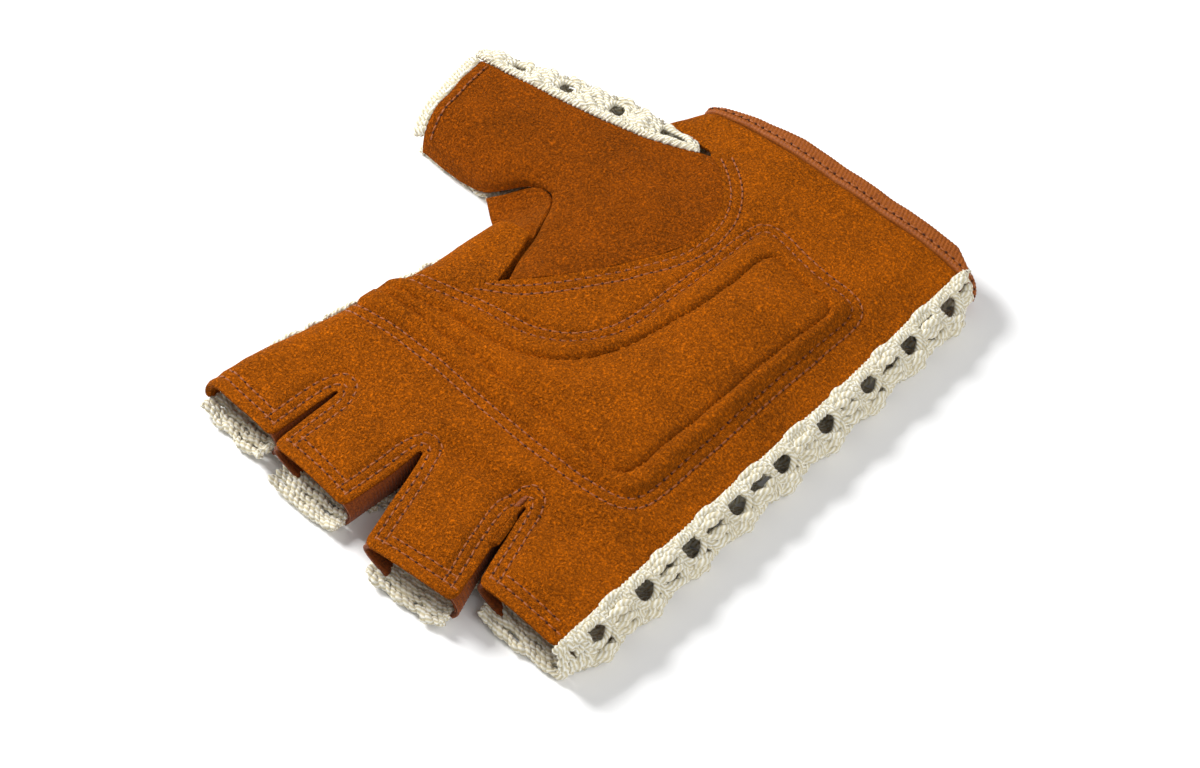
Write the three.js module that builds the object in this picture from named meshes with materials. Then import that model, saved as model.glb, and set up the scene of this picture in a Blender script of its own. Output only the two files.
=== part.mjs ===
import * as THREE from 'three';

// A crochet-backed, suede-palmed fingerless cycling glove for the right hand,
// lying palm up. Millimetres, +Z up, +Y to the fingers, +X to the thumb.
// Tables are in the hand's own plan, whose zero lies near the palm's middle.

// Where the hand's plan zero goes, so that the glove's box is centred on the origin
const PLAN_SHIFT = { x: -16.3, y: 4.44 };

// Thicknesses and gaps
const SUEDE = 1.4;
const NET = 2.2;
const TAPE = 2.4;
const STRETCH_CLOTH = 1.0;
const PIECE_GAP = 0.35;
const FLOOR_SNAP = 0.2;

// Heights that the palm and its edges hold above the table
const LITTLE_EDGE_Z = 10.0;
const SUEDE_LOW_Z = NET + PIECE_GAP;
const SIDE_ROUND = 7.6;
const FINGER_ARCH = 0.9;
const CREASE_DEPTH = 0.9;
const THUMB_MOUND = 1.6;
const WEB_DIP = 2.4;

// Cuff: the suede ends here and the tape goes on, narrower where it turns at either side
const CUFF = { y: -71.6, slope: -0.055, aboutX: -10 };
const TAPE_WIDTH = [
  { x: -44.0, width: 1.8 },
  { x: -38.0, width: 5.3 },
  { x: 8.0, width: 5.3 },
  { x: 27.0, width: 3.1 },
  { x: 34.0, width: 1.8 },
];

// Crown of the palm down the hand
const CROWN = [
  { y: -78, z: 11.2 },
  { y: -60, z: 12.3 },
  { y: -40, z: 13.3 },
  { y: -15, z: 14.0 },
  { y: 10, z: 13.6 },
  { y: 30, z: 12.6 },
  { y: 45, z: 11.8 },
  { y: 72, z: 10.9 },
];

// Little-finger edge of the suede
const LITTLE_EDGE = [
  { y: -78, x: -43.0 },
  { y: -30, x: -44.4 },
  { y: 70, x: -44.7 },
];

// Outermost line of the index side, and of the wrist below the thumb
const INDEX_SIDE = [
  { y: -20, x: 44.6 },
  { y: -3, x: 46.8 },
  { y: 6, x: 46.6 },
  { y: 18, x: 49.4 },
  { y: 37, x: 54.3 },
  { y: 51, x: 58.3 },
  { y: 64, x: 59.8 },
];
const WRIST_SIDE = [
  { y: -78, x: 32.6 },
  { y: -72, x: 34.6 },
  { y: -64, x: 38.4 },
];
const WRIST_EDGE = { fromY: -61.8, toY: -64.2, inset: 13.6 };

// Thumb seam across the palm, from the foot of the index finger to the wrist
const THUMB_SEAM = [
  { x: 27.8, y: 0.6 },
  { x: 19.2, y: -8.6 },
  { x: 11.4, y: -20.0 },
  { x: 6.2, y: -30.0 },
  { x: 4.6, y: -40.0 },
  { x: 7.6, y: -49.0 },
  { x: 14.0, y: -56.0 },
  { x: 20.6, y: -60.6 },
];

// Left edge of the index part beside the slit that runs down to the thumb
const SLIT_LINE = [
  { y: -14, x: 33.4 },
  { y: 0.6, x: 29.0 },
];
const INDEX_LOW_Y = -14.2;

// Finger tongues: their edges at the root line and at the tip
const FINGERS = [
  { name: 'little', rootFrom: -44.7, rootTo: -16.5, tipFrom: -44.2, tipTo: -22.2, tipY: [61.9, 61.2], rootY: 40.5 },
  { name: 'ring', rootFrom: -15.3, rootTo: 8.5, tipFrom: -21.4, tipTo: 2.0, tipY: [67.8, 69.4], rootY: 45.0 },
  { name: 'middle', rootFrom: 9.7, rootTo: 33.3, tipFrom: 11.8, tipTo: 34.2, tipY: [65.6, 63.7], rootY: 45.0 },
  { name: 'index', rootFrom: 34.5, rootTo: 48.3, tipFrom: 36.1, tipTo: 52.2, tipY: [62.6, 60.6], rootY: 45.0 },
];

// Rows of the palm below the finger roots; the first three pass under the thumb
const WRIST_ROWS = [0, 3, 6.2];
const SEAM_ROWS = 12;
const SEAM_SPAN = 61.6;
const KNUCKLE_ROWS = [5.6, 11, 17, 23, 29, 35, 40.5, 45.0];
const TIP_ROWS = 4;
const COLUMNS_PER_FINGER = 5;
const WRAP_COLUMNS = 4;

// Thumb front, station by station from the palm seam to the tip: its edge beside the
// index finger, its far edge, and how far each row bows towards the palm
const THUMB_FRONT = [
  { nearX: 30.7, nearY: -8.3, nearZ: 11.8, farX: 24.4, farY: -58.4, farZ: 10.9, crown: 13.2, bow: 12.0 },
  { nearX: 33.4, nearY: -17.8, nearZ: 11.4, farX: 29.6, farY: -56.2, farZ: 11.0, crown: 13.3, bow: 8.0 },
  { nearX: 38.6, nearY: -27.0, nearZ: 11.2, farX: 36.6, farY: -53.9, farZ: 11.2, crown: 13.2, bow: 4.0 },
  { nearX: 44.0, nearY: -27.2, nearZ: 10.2, farX: 44.0, farY: -52.4, farZ: 11.3, crown: 13.0, bow: 1.0 },
  { nearX: 49.8, nearY: -24.0, nearZ: 7.4, farX: 51.0, farY: -51.2, farZ: 11.4, crown: 12.9, bow: 0 },
  { nearX: 55.4, nearY: -22.2, nearZ: 4.2, farX: 58.0, farY: -50.2, farZ: 11.5, crown: 12.8, bow: 0 },
  { nearX: 62.0, nearY: -22.2, nearZ: 2.6, farX: 65.6, farY: -49.3, farZ: 11.6, crown: 12.8, bow: 0 },
  { nearX: 69.0, nearY: -22.5, nearZ: 2.6, farX: 73.0, farY: -48.4, farZ: 11.6, crown: 12.6, bow: 0 },
  { nearX: 75.8, nearY: -23.2, nearZ: 2.6, farX: 80.3, farY: -47.6, farZ: 11.6, crown: 12.4, bow: 0.4 },
];
const THUMB_FRONT_COLUMNS = 12;
const THUMB_ROUND_SHARE = 0.34;

// Web between thumb and index side: from the thumb's edge to the palm's lower corner
const GUSSET = [
  { thumbX: 34.1, thumbY: -17.0, thumbZ: 11.0, palmX: 34.0, palmY: -14.8, palmZ: 11.2, dip: 0.0 },
  { thumbX: 38.4, thumbY: -25.6, thumbZ: 10.6, palmX: 37.2, palmY: -14.8, palmZ: 10.6, dip: 1.2 },
  { thumbX: 44.0, thumbY: -26.2, thumbZ: 9.2, palmX: 40.6, palmY: -14.9, palmZ: 8.8, dip: 2.8 },
  { thumbX: 49.4, thumbY: -23.0, thumbZ: 6.2, palmX: 43.4, palmY: -15.0, palmZ: 6.2, dip: 2.0 },
  { thumbX: 53.8, thumbY: -21.2, thumbZ: 3.4, palmX: 45.2, palmY: -15.2, palmZ: 3.6, dip: 0.2 },
];
const GUSSET_COLUMNS = 6;

// Pad on the palm: its outer line beside the little finger and knuckles, and the inner
// line facing the thumb, as matching stations from the heel of the hand to the index side
const PAD = [
  { outerX: -31.4, outerY: -48.6, innerX: -5.6, innerY: -52.0 },
  { outerX: -35.8, outerY: -42.0, innerX: -1.2, innerY: -46.0 },
  { outerX: -36.6, outerY: -28.0, innerX: 0.2, innerY: -30.0 },
  { outerX: -37.0, outerY: -10.0, innerX: 0.9, innerY: -14.0 },
  { outerX: -37.0, outerY: 8.0, innerX: 3.0, innerY: -4.2 },
  { outerX: -36.6, outerY: 22.4, innerX: 5.4, innerY: 0.2 },
  { outerX: -29.6, outerY: 28.4, innerX: 8.4, innerY: 2.8 },
  { outerX: -12.0, outerY: 27.0, innerX: 13.4, innerY: 5.2 },
  { outerX: 8.0, outerY: 25.0, innerX: 20.0, innerY: 6.4 },
  { outerX: 28.0, outerY: 23.0, innerX: 31.0, innerY: 7.4 },
  { outerX: 43.4, outerY: 22.4, innerX: 41.6, innerY: 10.6 },
];
// Pad relief from its edge inwards: flat flange with the seams, raised rim, groove, field
const PAD_RELIEF = [
  { inset: 0, z: 0.6 },
  { inset: 4.0, z: 0.8 },
  { inset: 6.2, z: 1.9 },
  { inset: 8.2, z: 1.8 },
  { inset: 9.6, z: 1.0 },
  { inset: 11.4, z: 2.1 },
];
const PAD_ROWS_PER_STATION = 3;

// Crochet back: rows of gaps between bands, and the wall up the little-finger side
const BACK_RIGHT = [
  { y: -78, x: 31.6 },
  { y: -72, x: 33.8 },
  { y: -65.5, x: 36.8 },
  { y: -62.5, x: 31.0 },
  { y: -45, x: 35.6 },
  { y: -30, x: 41.4 },
  { y: -18, x: 45.2 },
  { y: -3, x: 46.2 },
  { y: 6, x: 46.2 },
  { y: 18, x: 49.0 },
  { y: 37, x: 53.9 },
  { y: 51, x: 57.6 },
  { y: 64, x: 59.2 },
];
const BACK_FINGERS = [
  { rootFrom: -43.4, rootTo: -17.0, tipFrom: -43.0, tipTo: -22.8, tipY: [62.4, 61.8] },
  { rootFrom: -14.8, rootTo: 8.0, tipFrom: -21.0, tipTo: 1.6, tipY: [68.2, 69.0] },
  { rootFrom: 10.2, rootTo: 32.8, tipFrom: 12.2, tipTo: 33.6, tipY: [66.2, 64.6] },
  { rootFrom: 35.0, rootTo: 55.8, tipFrom: 36.7, tipTo: 58.8, tipY: [63.0, 60.8] },
];
const BACK_ROOT_Y = 44.0;
const BACK_COLUMNS_PER_FINGER = 4;
const BACK_WALL = [
  { x: -45.0, z: 9.0, bulge: 0.3 },
  { x: -46.7, z: 5.9, bulge: 2.4 },
  { x: -45.9, z: 3.0, bulge: 2.8 },
];
const NET_ROW = { gap: 6.6, band: 4.2 };
const BACK_FINGER_ROWS = [4.2, 10.6, 14.4];

// Crochet under the thumb and up its far side, station by station towards the tip
const THUMB_BACK = [
  { nearX: 33.0, nearY: -58.2, farX: 33.4, farY: -60.0, wallX: 32.6, wallY: -60.8, topX: 30.4, topY: -58.4, topZ: 9.0 },
  { nearX: 34.6, nearY: -50.4, farX: 38.4, farY: -60.2, wallX: 38.4, wallY: -61.0, topX: 35.4, topY: -56.0, topZ: 9.6 },
  { nearX: 37.8, nearY: -41.6, farX: 43.6, farY: -60.0, wallX: 44.0, wallY: -60.9, topX: 41.2, topY: -54.4, topZ: 10.0 },
  { nearX: 42.1, nearY: -30.6, farX: 49.4, farY: -59.0, wallX: 50.0, wallY: -59.8, topX: 48.0, topY: -53.0, topZ: 10.2 },
  { nearX: 46.8, nearY: -23.4, farX: 56.0, farY: -57.3, wallX: 56.8, wallY: -58.2, topX: 55.4, topY: -51.9, topZ: 10.3 },
  { nearX: 55.8, nearY: -22.8, farX: 62.8, farY: -55.8, wallX: 63.4, wallY: -56.7, topX: 62.6, topY: -51.0, topZ: 10.4 },
  { nearX: 64.2, nearY: -22.9, farX: 69.8, farY: -54.0, wallX: 70.2, wallY: -54.9, topX: 69.8, topY: -50.1, topZ: 10.4 },
  { nearX: 72.0, nearY: -23.2, farX: 76.6, farY: -52.2, wallX: 76.8, wallY: -53.0, topX: 76.8, topY: -49.3, topZ: 10.4 },
  { nearX: 80.2, nearY: -25.0, farX: 83.4, farY: -50.4, wallX: 83.6, wallY: -51.2, topX: 83.0, topY: -48.6, topZ: 10.4 },
];
const THUMB_BACK_COLUMNS = 7;
const THUMB_WALL_SHARE = 0.6;

// Side strips between the fingers
const FORK_INSET = 1.1;
const FORK_SINK = 2.4;
const FORK_LOW_Z = NET + PIECE_GAP;
const FORK_TOP_CLEAR = SUEDE + PIECE_GAP + FINGER_ARCH + 0.1;

const lerp = THREE.MathUtils.lerp;
const smooth = (value) => THREE.MathUtils.smoothstep(value, 0, 1);

// Looks a value up in a table whose rows rise with y
function at(table, y, column = 'x') {
  const last = table.length - 1;
  if (y <= table[0].y) return table[0][column];
  for (let k = 1; k <= last; k += 1) {
    if (y <= table[k].y) {
      const share = (y - table[k - 1].y) / (table[k].y - table[k - 1].y);
      return lerp(table[k - 1][column], table[k][column], share);
    }
  }
  return table[last][column];
}

// Height of the suede's outer face over a plan point, before a side rolls down
function crown(x, y) {
  const base = at(CROWN, y, 'z');
  const littleDrop = (base - LITTLE_EDGE_Z) * (1 - smooth((x - at(LITTLE_EDGE, y)) / 13));
  const wristDrop = 3.0 * smooth((x - 5) / 28) * smooth((-50 - y) / 15);
  const mound = THUMB_MOUND * Math.exp(-(((x - 27) / 15) ** 2) - (((y + 34) / 15) ** 2));
  const web = WEB_DIP * Math.exp(-(((x - 39) / 9) ** 2) - (((y + 9) / 11) ** 2));
  const crease = CREASE_DEPTH * Math.exp(-(((y - 36 - 0.35 * (x + 30)) / 5) ** 2)) * smooth((-x - 4) / 14);
  return base - littleDrop - wristDrop + mound - web - crease;
}

// Point on the palm's outer face at unrolled distance u across the hand: past the side's
// shoulder the suede rolls down towards the table
function palmFace(u, y, sideTable) {
  const sideX = at(sideTable, y);
  const shoulder = sideX - SIDE_ROUND;
  if (u <= shoulder) return new THREE.Vector3(u, y, crown(u, y));
  const topZ = crown(shoulder, y);
  const drop = topZ - SUEDE_LOW_Z;
  const angle = (u - shoulder) / SIDE_ROUND;
  const down = Math.min(1, angle / (Math.PI / 2));
  const bend = (down * Math.PI) / 2;
  return new THREE.Vector3(shoulder + SIDE_ROUND * Math.sin(bend), y, topZ - drop * (1 - Math.cos(bend)));
}

// A closed wall from a grid of points: place(i, j) gives one face, the other lies a
// thickness behind it, and present(i, j) says which cells there are
function sheet(columns, rows, place, present, thickness) {
  const points = [];
  const normals = [];
  for (let j = 0; j <= rows; j += 1) {
    for (let i = 0; i <= columns; i += 1) {
      points.push(place(i, j));
      normals.push(new THREE.Vector3());
    }
  }
  const index = (i, j) => j * (columns + 1) + i;
  const cell = (i, j) => i >= 0 && j >= 0 && i < columns && j < rows && present(i, j);
  for (let j = 0; j < rows; j += 1) {
    for (let i = 0; i < columns; i += 1) {
      if (cell(i, j)) {
        const corners = [index(i, j), index(i + 1, j), index(i + 1, j + 1), index(i, j + 1)];
        const across = points[corners[2]].clone().sub(points[corners[0]]);
        const back = points[corners[3]].clone().sub(points[corners[1]]);
        const normal = across.cross(back);
        corners.forEach((corner) => normals[corner].add(normal));
      }
    }
  }
  const behind = points.map((point, k) => {
    const moved = point.clone().addScaledVector(normals[k].normalize(), -thickness);
    if (moved.z < FLOOR_SNAP) moved.z = 0;
    return moved;
  });
  const positions = [];
  const triangle = (a, b, c) => positions.push(...a, ...b, ...c);
  const quad = (a, b, c, d) => {
    triangle(a, b, c);
    triangle(a, c, d);
  };
  for (let j = 0; j < rows; j += 1) {
    for (let i = 0; i < columns; i += 1) {
      if (cell(i, j)) {
        const ring = [index(i, j), index(i + 1, j), index(i + 1, j + 1), index(i, j + 1)];
        quad(...ring.map((k) => points[k]));
        quad(...[...ring].reverse().map((k) => behind[k]));
        const open = [!cell(i, j - 1), !cell(i + 1, j), !cell(i, j + 1), !cell(i - 1, j)];
        open.forEach((isOpen, side) => {
          if (isOpen) {
            const from = ring[side];
            const to = ring[(side + 1) % ring.length];
            quad(points[to], points[from], behind[from], behind[to]);
          }
        });
      }
    }
  }
  return meshGeometry(positions);
}

// A closed band from a list of four-cornered sections; closed says that it is a loop
function band(sections, closed) {
  const positions = [];
  const quad = (a, b, c, d) => positions.push(...a, ...b, ...c, ...a, ...c, ...d);
  const count = sections.length;
  const steps = closed ? count : count - 1;
  for (let k = 0; k < steps; k += 1) {
    const here = sections[k];
    const next = sections[(k + 1) % count];
    for (let side = 0; side < 4; side += 1) {
      const after = (side + 1) % 4;
      quad(here[side], here[after], next[after], next[side]);
    }
  }
  if (!closed) {
    quad(...[...sections[0]].reverse());
    quad(...sections[count - 1]);
  }
  return meshGeometry(positions);
}

function meshGeometry(positions) {
  const geometry = new THREE.BufferGeometry();
  geometry.setAttribute('position', new THREE.Float32BufferAttribute(positions, 3));
  geometry.computeVertexNormals();
  return geometry;
}

// Edge of a finger tongue at a share of the way from its root line to its tip
function tongueX(finger, share, across) {
  const from = lerp(finger.rootFrom, finger.tipFrom, share);
  const to = lerp(finger.rootTo, finger.tipTo, share);
  return lerp(from, to, across);
}

// Where the suede ends at the cuff: a straight line that turns up a little at both sides
function cuffY(x) {
  const turn = 0.6 * smooth((-38 - x) / 6) + 1.0 * smooth((x - 20) / 14);
  return CUFF.y + CUFF.slope * (x - CUFF.aboutX) + turn;
}

const seamCurve = new THREE.CatmullRomCurve3(THUMB_SEAM.map((row) => new THREE.Vector3(row.x, row.y, 0)));

// Point beside the thumb seam in plan; a positive side is the thumb's
function besideSeam(share, side) {
  const point = seamCurve.getPoint(share);
  const tangent = seamCurve.getTangent(share);
  const outward = new THREE.Vector3(-tangent.y, tangent.x, 0).normalize();
  return point.addScaledVector(outward, side);
}

function makePalmPanel() {
  const lines = [];
  FINGERS.forEach((finger, order) => {
    const first = order === 0 ? 0 : 1;
    if (first) lines.push({ finger: order, across: 0 });
    for (let k = first ? 1 : 0; k <= COLUMNS_PER_FINGER; k += 1) {
      lines.push({ finger: order, across: k / COLUMNS_PER_FINGER });
    }
  });
  for (let k = 1; k <= WRAP_COLUMNS; k += 1) lines.push({ finger: 3, across: 1, wrap: k / WRAP_COLUMNS });
  const mainLines = 3 * (COLUMNS_PER_FINGER + 1) - 1;
  const slitAfter = [COLUMNS_PER_FINGER, 2 * COLUMNS_PER_FINGER + 1, mainLines];
  const columns = lines.length - 1;
  const wrist = WRIST_ROWS.length;
  const seamEnd = wrist + SEAM_ROWS;
  const knuckle = seamEnd + KNUCKLE_ROWS.length;
  const rows = knuckle + TIP_ROWS - 1;
  const seamTop = THUMB_SEAM[0];
  const seamStep = SEAM_SPAN / (SEAM_ROWS - 1);
  const rowY = (j) => (j >= seamEnd ? KNUCKLE_ROWS[j - seamEnd] : seamTop.y - (seamEnd - 1 - j) * seamStep);
  const mainSpan = FINGERS[2].rootTo - FINGERS[0].rootFrom;

  const place = (i, j) => {
    const line = lines[i];
    const finger = FINGERS[line.finger];
    const rootX = tongueX(finger, 0, line.across);
    const mainShare = (rootX - FINGERS[0].rootFrom) / mainSpan;
    if (j < wrist) {
      const upper = j === wrist - 1;
      const sideY = upper ? WRIST_EDGE.toY : CUFF.y + WRIST_ROWS[j];
      const shoulder = at(WRIST_SIDE, sideY) - SIDE_ROUND;
      const reach = at(WRIST_SIDE, CUFF.y) - WRIST_EDGE.inset;
      if (i <= mainLines) {
        const x = lerp(at(LITTLE_EDGE, CUFF.y), reach, mainShare);
        const straightY = cuffY(x) + WRIST_ROWS[j];
        const y = upper ? lerp(straightY, WRIST_EDGE.fromY, mainShare ** 4) : straightY;
        return palmFace(x, y, WRIST_SIDE);
      }
      const roll = Math.min(1, (i - mainLines) / (columns - WRAP_COLUMNS - mainLines));
      const u = lerp(reach, shoulder + (SIDE_ROUND * Math.PI) / 2, roll);
      const y = upper ? lerp(WRIST_EDGE.fromY, WRIST_EDGE.toY, roll) : cuffY(Math.min(u, shoulder)) + WRIST_ROWS[j];
      return palmFace(u, y, WRIST_SIDE);
    }
    if (j < seamEnd && i <= mainLines) {
      const share = 1 - (j - wrist) / (SEAM_ROWS - 1);
      const end = besideSeam(share, -PIECE_GAP / 2);
      const y = lerp(rowY(j), end.y, mainShare);
      const x = lerp(at(LITTLE_EDGE, y), end.x, mainShare);
      return new THREE.Vector3(x, y, crown(x, y));
    }
    const tipShare = Math.max(0, (j - knuckle + 1) / TIP_ROWS);
    const baseY = rowY(Math.min(j, knuckle - 1));
    const tipY = lerp(finger.tipY[0], finger.tipY[1], line.across);
    const y = Math.max(lerp(baseY, tipY, tipShare), INDEX_LOW_Y);
    const spread = Math.max(0, (y - finger.rootY) / (tipY - finger.rootY));
    let x = tongueX(finger, spread, line.across);
    if (line.finger < 3 && y < finger.rootY) {
      const right = lerp(seamTop.x - 0.2, FINGERS[2].rootTo, (y - seamTop.y) / (FINGERS[2].rootY - seamTop.y));
      x = lerp(at(LITTLE_EDGE, y), right, mainShare);
    }
    const arch = FINGER_ARCH * Math.abs(2 * line.across - 1) ** 3 * smooth((y - 38) / 12);
    if (line.finger === 3) {
      const slit = at([...SLIT_LINE, { y: finger.rootY, x: finger.rootFrom }], y);
      const left = y < finger.rootY ? slit : tongueX(finger, spread, 0);
      x = lerp(left, at(INDEX_SIDE, y) - SIDE_ROUND, line.across);
      const u = x + (line.wrap || 0) * SIDE_ROUND * (Math.PI / 2);
      const point = palmFace(u, y, INDEX_SIDE);
      if (line.across < 0.5) point.z -= arch;
      return point;
    }
    return new THREE.Vector3(x, y, crown(x, y) - (line.finger === 0 && line.across < 0.5 ? 0 : arch));
  };

  const present = (i, j) => {
    const wristCell = j < wrist - 1 && i < columns - WRAP_COLUMNS;
    if (j < wrist) return wristCell || (j === wrist - 1 && i < mainLines);
    if (i >= mainLines && j < seamEnd - 4) return false;
    if (i === slitAfter[0]) return j < knuckle - 2;
    if (i === slitAfter[1]) return j < knuckle - 1;
    if (i === slitAfter[2]) return j >= seamEnd - 1 && j < knuckle - 1;
    return true;
  };
  return sheet(columns, rows, place, present, SUEDE);
}

// Pad height over the palm at a distance in from the pad's nearest edge
function padRelief(inset) {
  return at(PAD_RELIEF.map((row) => ({ y: row.inset, z: row.z })), inset, 'z');
}

function makePalmPad() {
  const outer = new THREE.CatmullRomCurve3(PAD.map((row) => new THREE.Vector3(row.outerX, row.outerY, 0)));
  const inner = new THREE.CatmullRomCurve3(PAD.map((row) => new THREE.Vector3(row.innerX, row.innerY, 0)));
  const insets = PAD_RELIEF.map((row) => row.inset);
  const rows = (PAD.length - 1) * PAD_ROWS_PER_STATION;
  const columns = 2 * insets.length - 1;
  const lift = (i, j, top) => {
    const share = j / rows;
    const from = outer.getPoint(share);
    const to = inner.getPoint(share);
    const width = from.distanceTo(to);
    const scale = Math.min(1, (0.46 * width) / insets[insets.length - 1]);
    const across = i < insets.length ? insets[i] * scale : width - insets[columns - i] * scale;
    const point = from.clone().lerp(to, across / width);
    const edge = Math.min(insets[Math.min(i, columns - i)], 2 + j * 4.2, 4 + (rows - j) * 6);
    point.z = crown(point.x, point.y) + PIECE_GAP + (top ? padRelief(edge) + 0.5 : 0);
    const shoulder = at(INDEX_SIDE, point.y) - SIDE_ROUND;
    if (point.x > shoulder) {
      const over = Math.min(1, (point.x - shoulder) / SIDE_ROUND);
      point.z -= (crown(shoulder, point.y) - SUEDE_LOW_Z) * (1 - Math.sqrt(1 - over * over));
    }
    return point;
  };
  const top = [];
  const under = [];
  for (let j = 0; j <= rows; j += 1) {
    top.push([...Array(columns + 1).keys()].map((i) => lift(i, j, true)));
    under.push([...Array(columns + 1).keys()].map((i) => lift(i, j, false)));
  }
  return slab(top, under);
}

// A closed solid between two like grids of points, given as rows
function slab(top, under) {
  const positions = [];
  const quad = (a, b, c, d) => positions.push(...a, ...b, ...c, ...a, ...c, ...d);
  const rows = top.length - 1;
  const columns = top[0].length - 1;
  for (let j = 0; j < rows; j += 1) {
    for (let i = 0; i < columns; i += 1) {
      quad(top[j][i], top[j][i + 1], top[j + 1][i + 1], top[j + 1][i]);
      quad(under[j][i], under[j + 1][i], under[j + 1][i + 1], under[j][i + 1]);
    }
    quad(top[j + 1][0], under[j + 1][0], under[j][0], top[j][0]);
    quad(top[j][columns], under[j][columns], under[j + 1][columns], top[j + 1][columns]);
  }
  for (let i = 0; i < columns; i += 1) {
    quad(top[0][i], under[0][i], under[0][i + 1], top[0][i + 1]);
    quad(top[rows][i + 1], under[rows][i + 1], under[rows][i], top[rows][i]);
  }
  return meshGeometry(positions);
}

function makeThumbFront() {
  const rows = THUMB_FRONT.length;
  const columns = THUMB_FRONT_COLUMNS;
  const place = (i, j) => {
    const across = (1 - i / columns) ** 1.35;
    if (j === 0) {
      const point = besideSeam(lerp(0.02, 0.985, across), PIECE_GAP / 2);
      point.z = crown(point.x, point.y);
      return point;
    }
    const station = THUMB_FRONT[j - 1];
    const x = lerp(station.nearX, station.farX, across) - station.bow * 4 * across * (1 - across);
    const y = lerp(station.nearY, station.farY, across);
    const near = Math.min(1, across / THUMB_ROUND_SHARE);
    const nearRise = Math.sqrt(1 - (1 - near) ** 2);
    const farRise = smooth((1 - across) / THUMB_ROUND_SHARE);
    const high = Math.max(station.crown, lerp(crown(x, y), station.crown, Math.min(1, j / 4)));
    const z = high - (high - station.nearZ) * (1 - nearRise) - (high - station.farZ) * (1 - farRise);
    return new THREE.Vector3(x, y, z);
  };
  const turned = (i, j) => place(columns - i, rows - j);
  return sheet(columns, rows, turned, () => true, SUEDE);
}

function makeGusset() {
  const rows = GUSSET.length - 1;
  const place = (i, j) => {
    const station = GUSSET[j];
    const share = i / GUSSET_COLUMNS;
    const x = lerp(station.palmX, station.thumbX, share);
    const y = lerp(station.palmY, station.thumbY, share);
    const z = lerp(station.palmZ, station.thumbZ, share) - station.dip * 4 * share * (1 - share);
    return new THREE.Vector3(x, y, z);
  };
  const turned = (i, j) => place(GUSSET_COLUMNS - i, j);
  return sheet(GUSSET_COLUMNS, rows, turned, () => true, SUEDE);
}

function makeBack() {
  const lines = BACK_WALL.map((wall) => ({ wall }));
  BACK_FINGERS.forEach((finger, order) => {
    for (let k = 0; k <= BACK_COLUMNS_PER_FINGER; k += 1) {
      lines.push({ finger: order, across: k / BACK_COLUMNS_PER_FINGER });
    }
  });
  const columns = lines.length - 1;
  const firstLine = BACK_WALL.length;
  const slits = [1, 2, 3].map((order) => firstLine + order * (BACK_COLUMNS_PER_FINGER + 1) - 1);
  const low = CUFF.y;
  const rowYs = [low];
  while (rowYs[rowYs.length - 1] < BACK_ROOT_Y - NET_ROW.gap) {
    rowYs.push(rowYs[rowYs.length - 1] + (rowYs.length % 2 ? NET_ROW.band : NET_ROW.gap));
  }
  const stretch = (BACK_ROOT_Y - low) / (rowYs[rowYs.length - 1] - low);
  const bodyRows = rowYs.length - 1;
  const rows = bodyRows + BACK_FINGER_ROWS.length + 1;
  const fullSpan = BACK_FINGERS[3].rootTo - BACK_FINGERS[0].rootFrom;

  const place = (i, j) => {
    const line = lines[i];
    const fingerLength = BACK_FINGER_ROWS[BACK_FINGER_ROWS.length - 1] + NET_ROW.band;
    const finger = BACK_FINGERS[line.wall ? 0 : line.finger];
    const across = line.wall ? 0 : line.across;
    let y = low + (rowYs[Math.min(j, bodyRows)] - low) * stretch;
    let x;
    if (j <= bodyRows) {
      const share = (tongueX(finger, 0, across) - BACK_FINGERS[0].rootFrom) / fullSpan;
      const left = at(LITTLE_EDGE, y) + 1.2;
      x = lerp(left, at(BACK_RIGHT, y), share);
      y += (cuffY(line.wall ? line.wall.x : x) - CUFF.y) * (1 - smooth((y - low) / 20));
    } else {
      const out = [...BACK_FINGER_ROWS, fingerLength][j - bodyRows - 1] / fingerLength;
      y = lerp(BACK_ROOT_Y, lerp(finger.tipY[0], finger.tipY[1], across), out);
      x = tongueX(finger, out, across);
    }
    if (line.wall) {
      const bulge = line.wall.bulge * smooth((64 - y) / 18) * smooth((y - low) / 14);
      return new THREE.Vector3(line.wall.x - (at(LITTLE_EDGE, 0) - at(LITTLE_EDGE, y)) - bulge, y, line.wall.z);
    }
    return new THREE.Vector3(x, y, NET);
  };

  const present = (i, j) => {
    if (slits.includes(i)) return j < bodyRows;
    const fingerRow = j - bodyRows;
    const gapRow = fingerRow >= 0 ? fingerRow === 1 : j % 2 === 1;
    const steppedColumn = i - slits.filter((slit) => slit < i).length;
    const turn = (fingerRow >= 0 ? bodyRows + 2 : j + 1) / 2;
    const edge = i === 0 || i === columns - 1 || slits.includes(i - 1) || slits.includes(i + 1);
    const bottomEdge = fingerRow >= 0 && edge;
    return !(gapRow && !bottomEdge && i !== columns - 1 && (steppedColumn + Math.floor(turn)) % 2 === 0);
  };
  return sheet(columns, rows, place, present, NET);
}

function makeThumbBack() {
  const rows = THUMB_BACK.length - 1;
  const columns = THUMB_BACK_COLUMNS + 2;
  const place = (i, j) => {
    const station = THUMB_BACK[j];
    if (i <= THUMB_BACK_COLUMNS) {
      const share = i / THUMB_BACK_COLUMNS;
      return new THREE.Vector3(
        lerp(station.nearX, station.farX, share),
        lerp(station.nearY, station.farY, share),
        NET,
      );
    }
    const wall = i === THUMB_BACK_COLUMNS + 1;
    if (wall) return new THREE.Vector3(station.wallX, station.wallY, THUMB_WALL_SHARE * station.topZ);
    return new THREE.Vector3(station.topX, station.topY, station.topZ);
  };
  const present = (i, j) => {
    const inner = i > 0 && i < columns - 1;
    return !(inner && j % 2 === 1 && j < rows - 1 && (i + Math.floor(j / 2)) % 2 === 0);
  };
  return sheet(columns, rows, place, present, NET);
}

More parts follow.
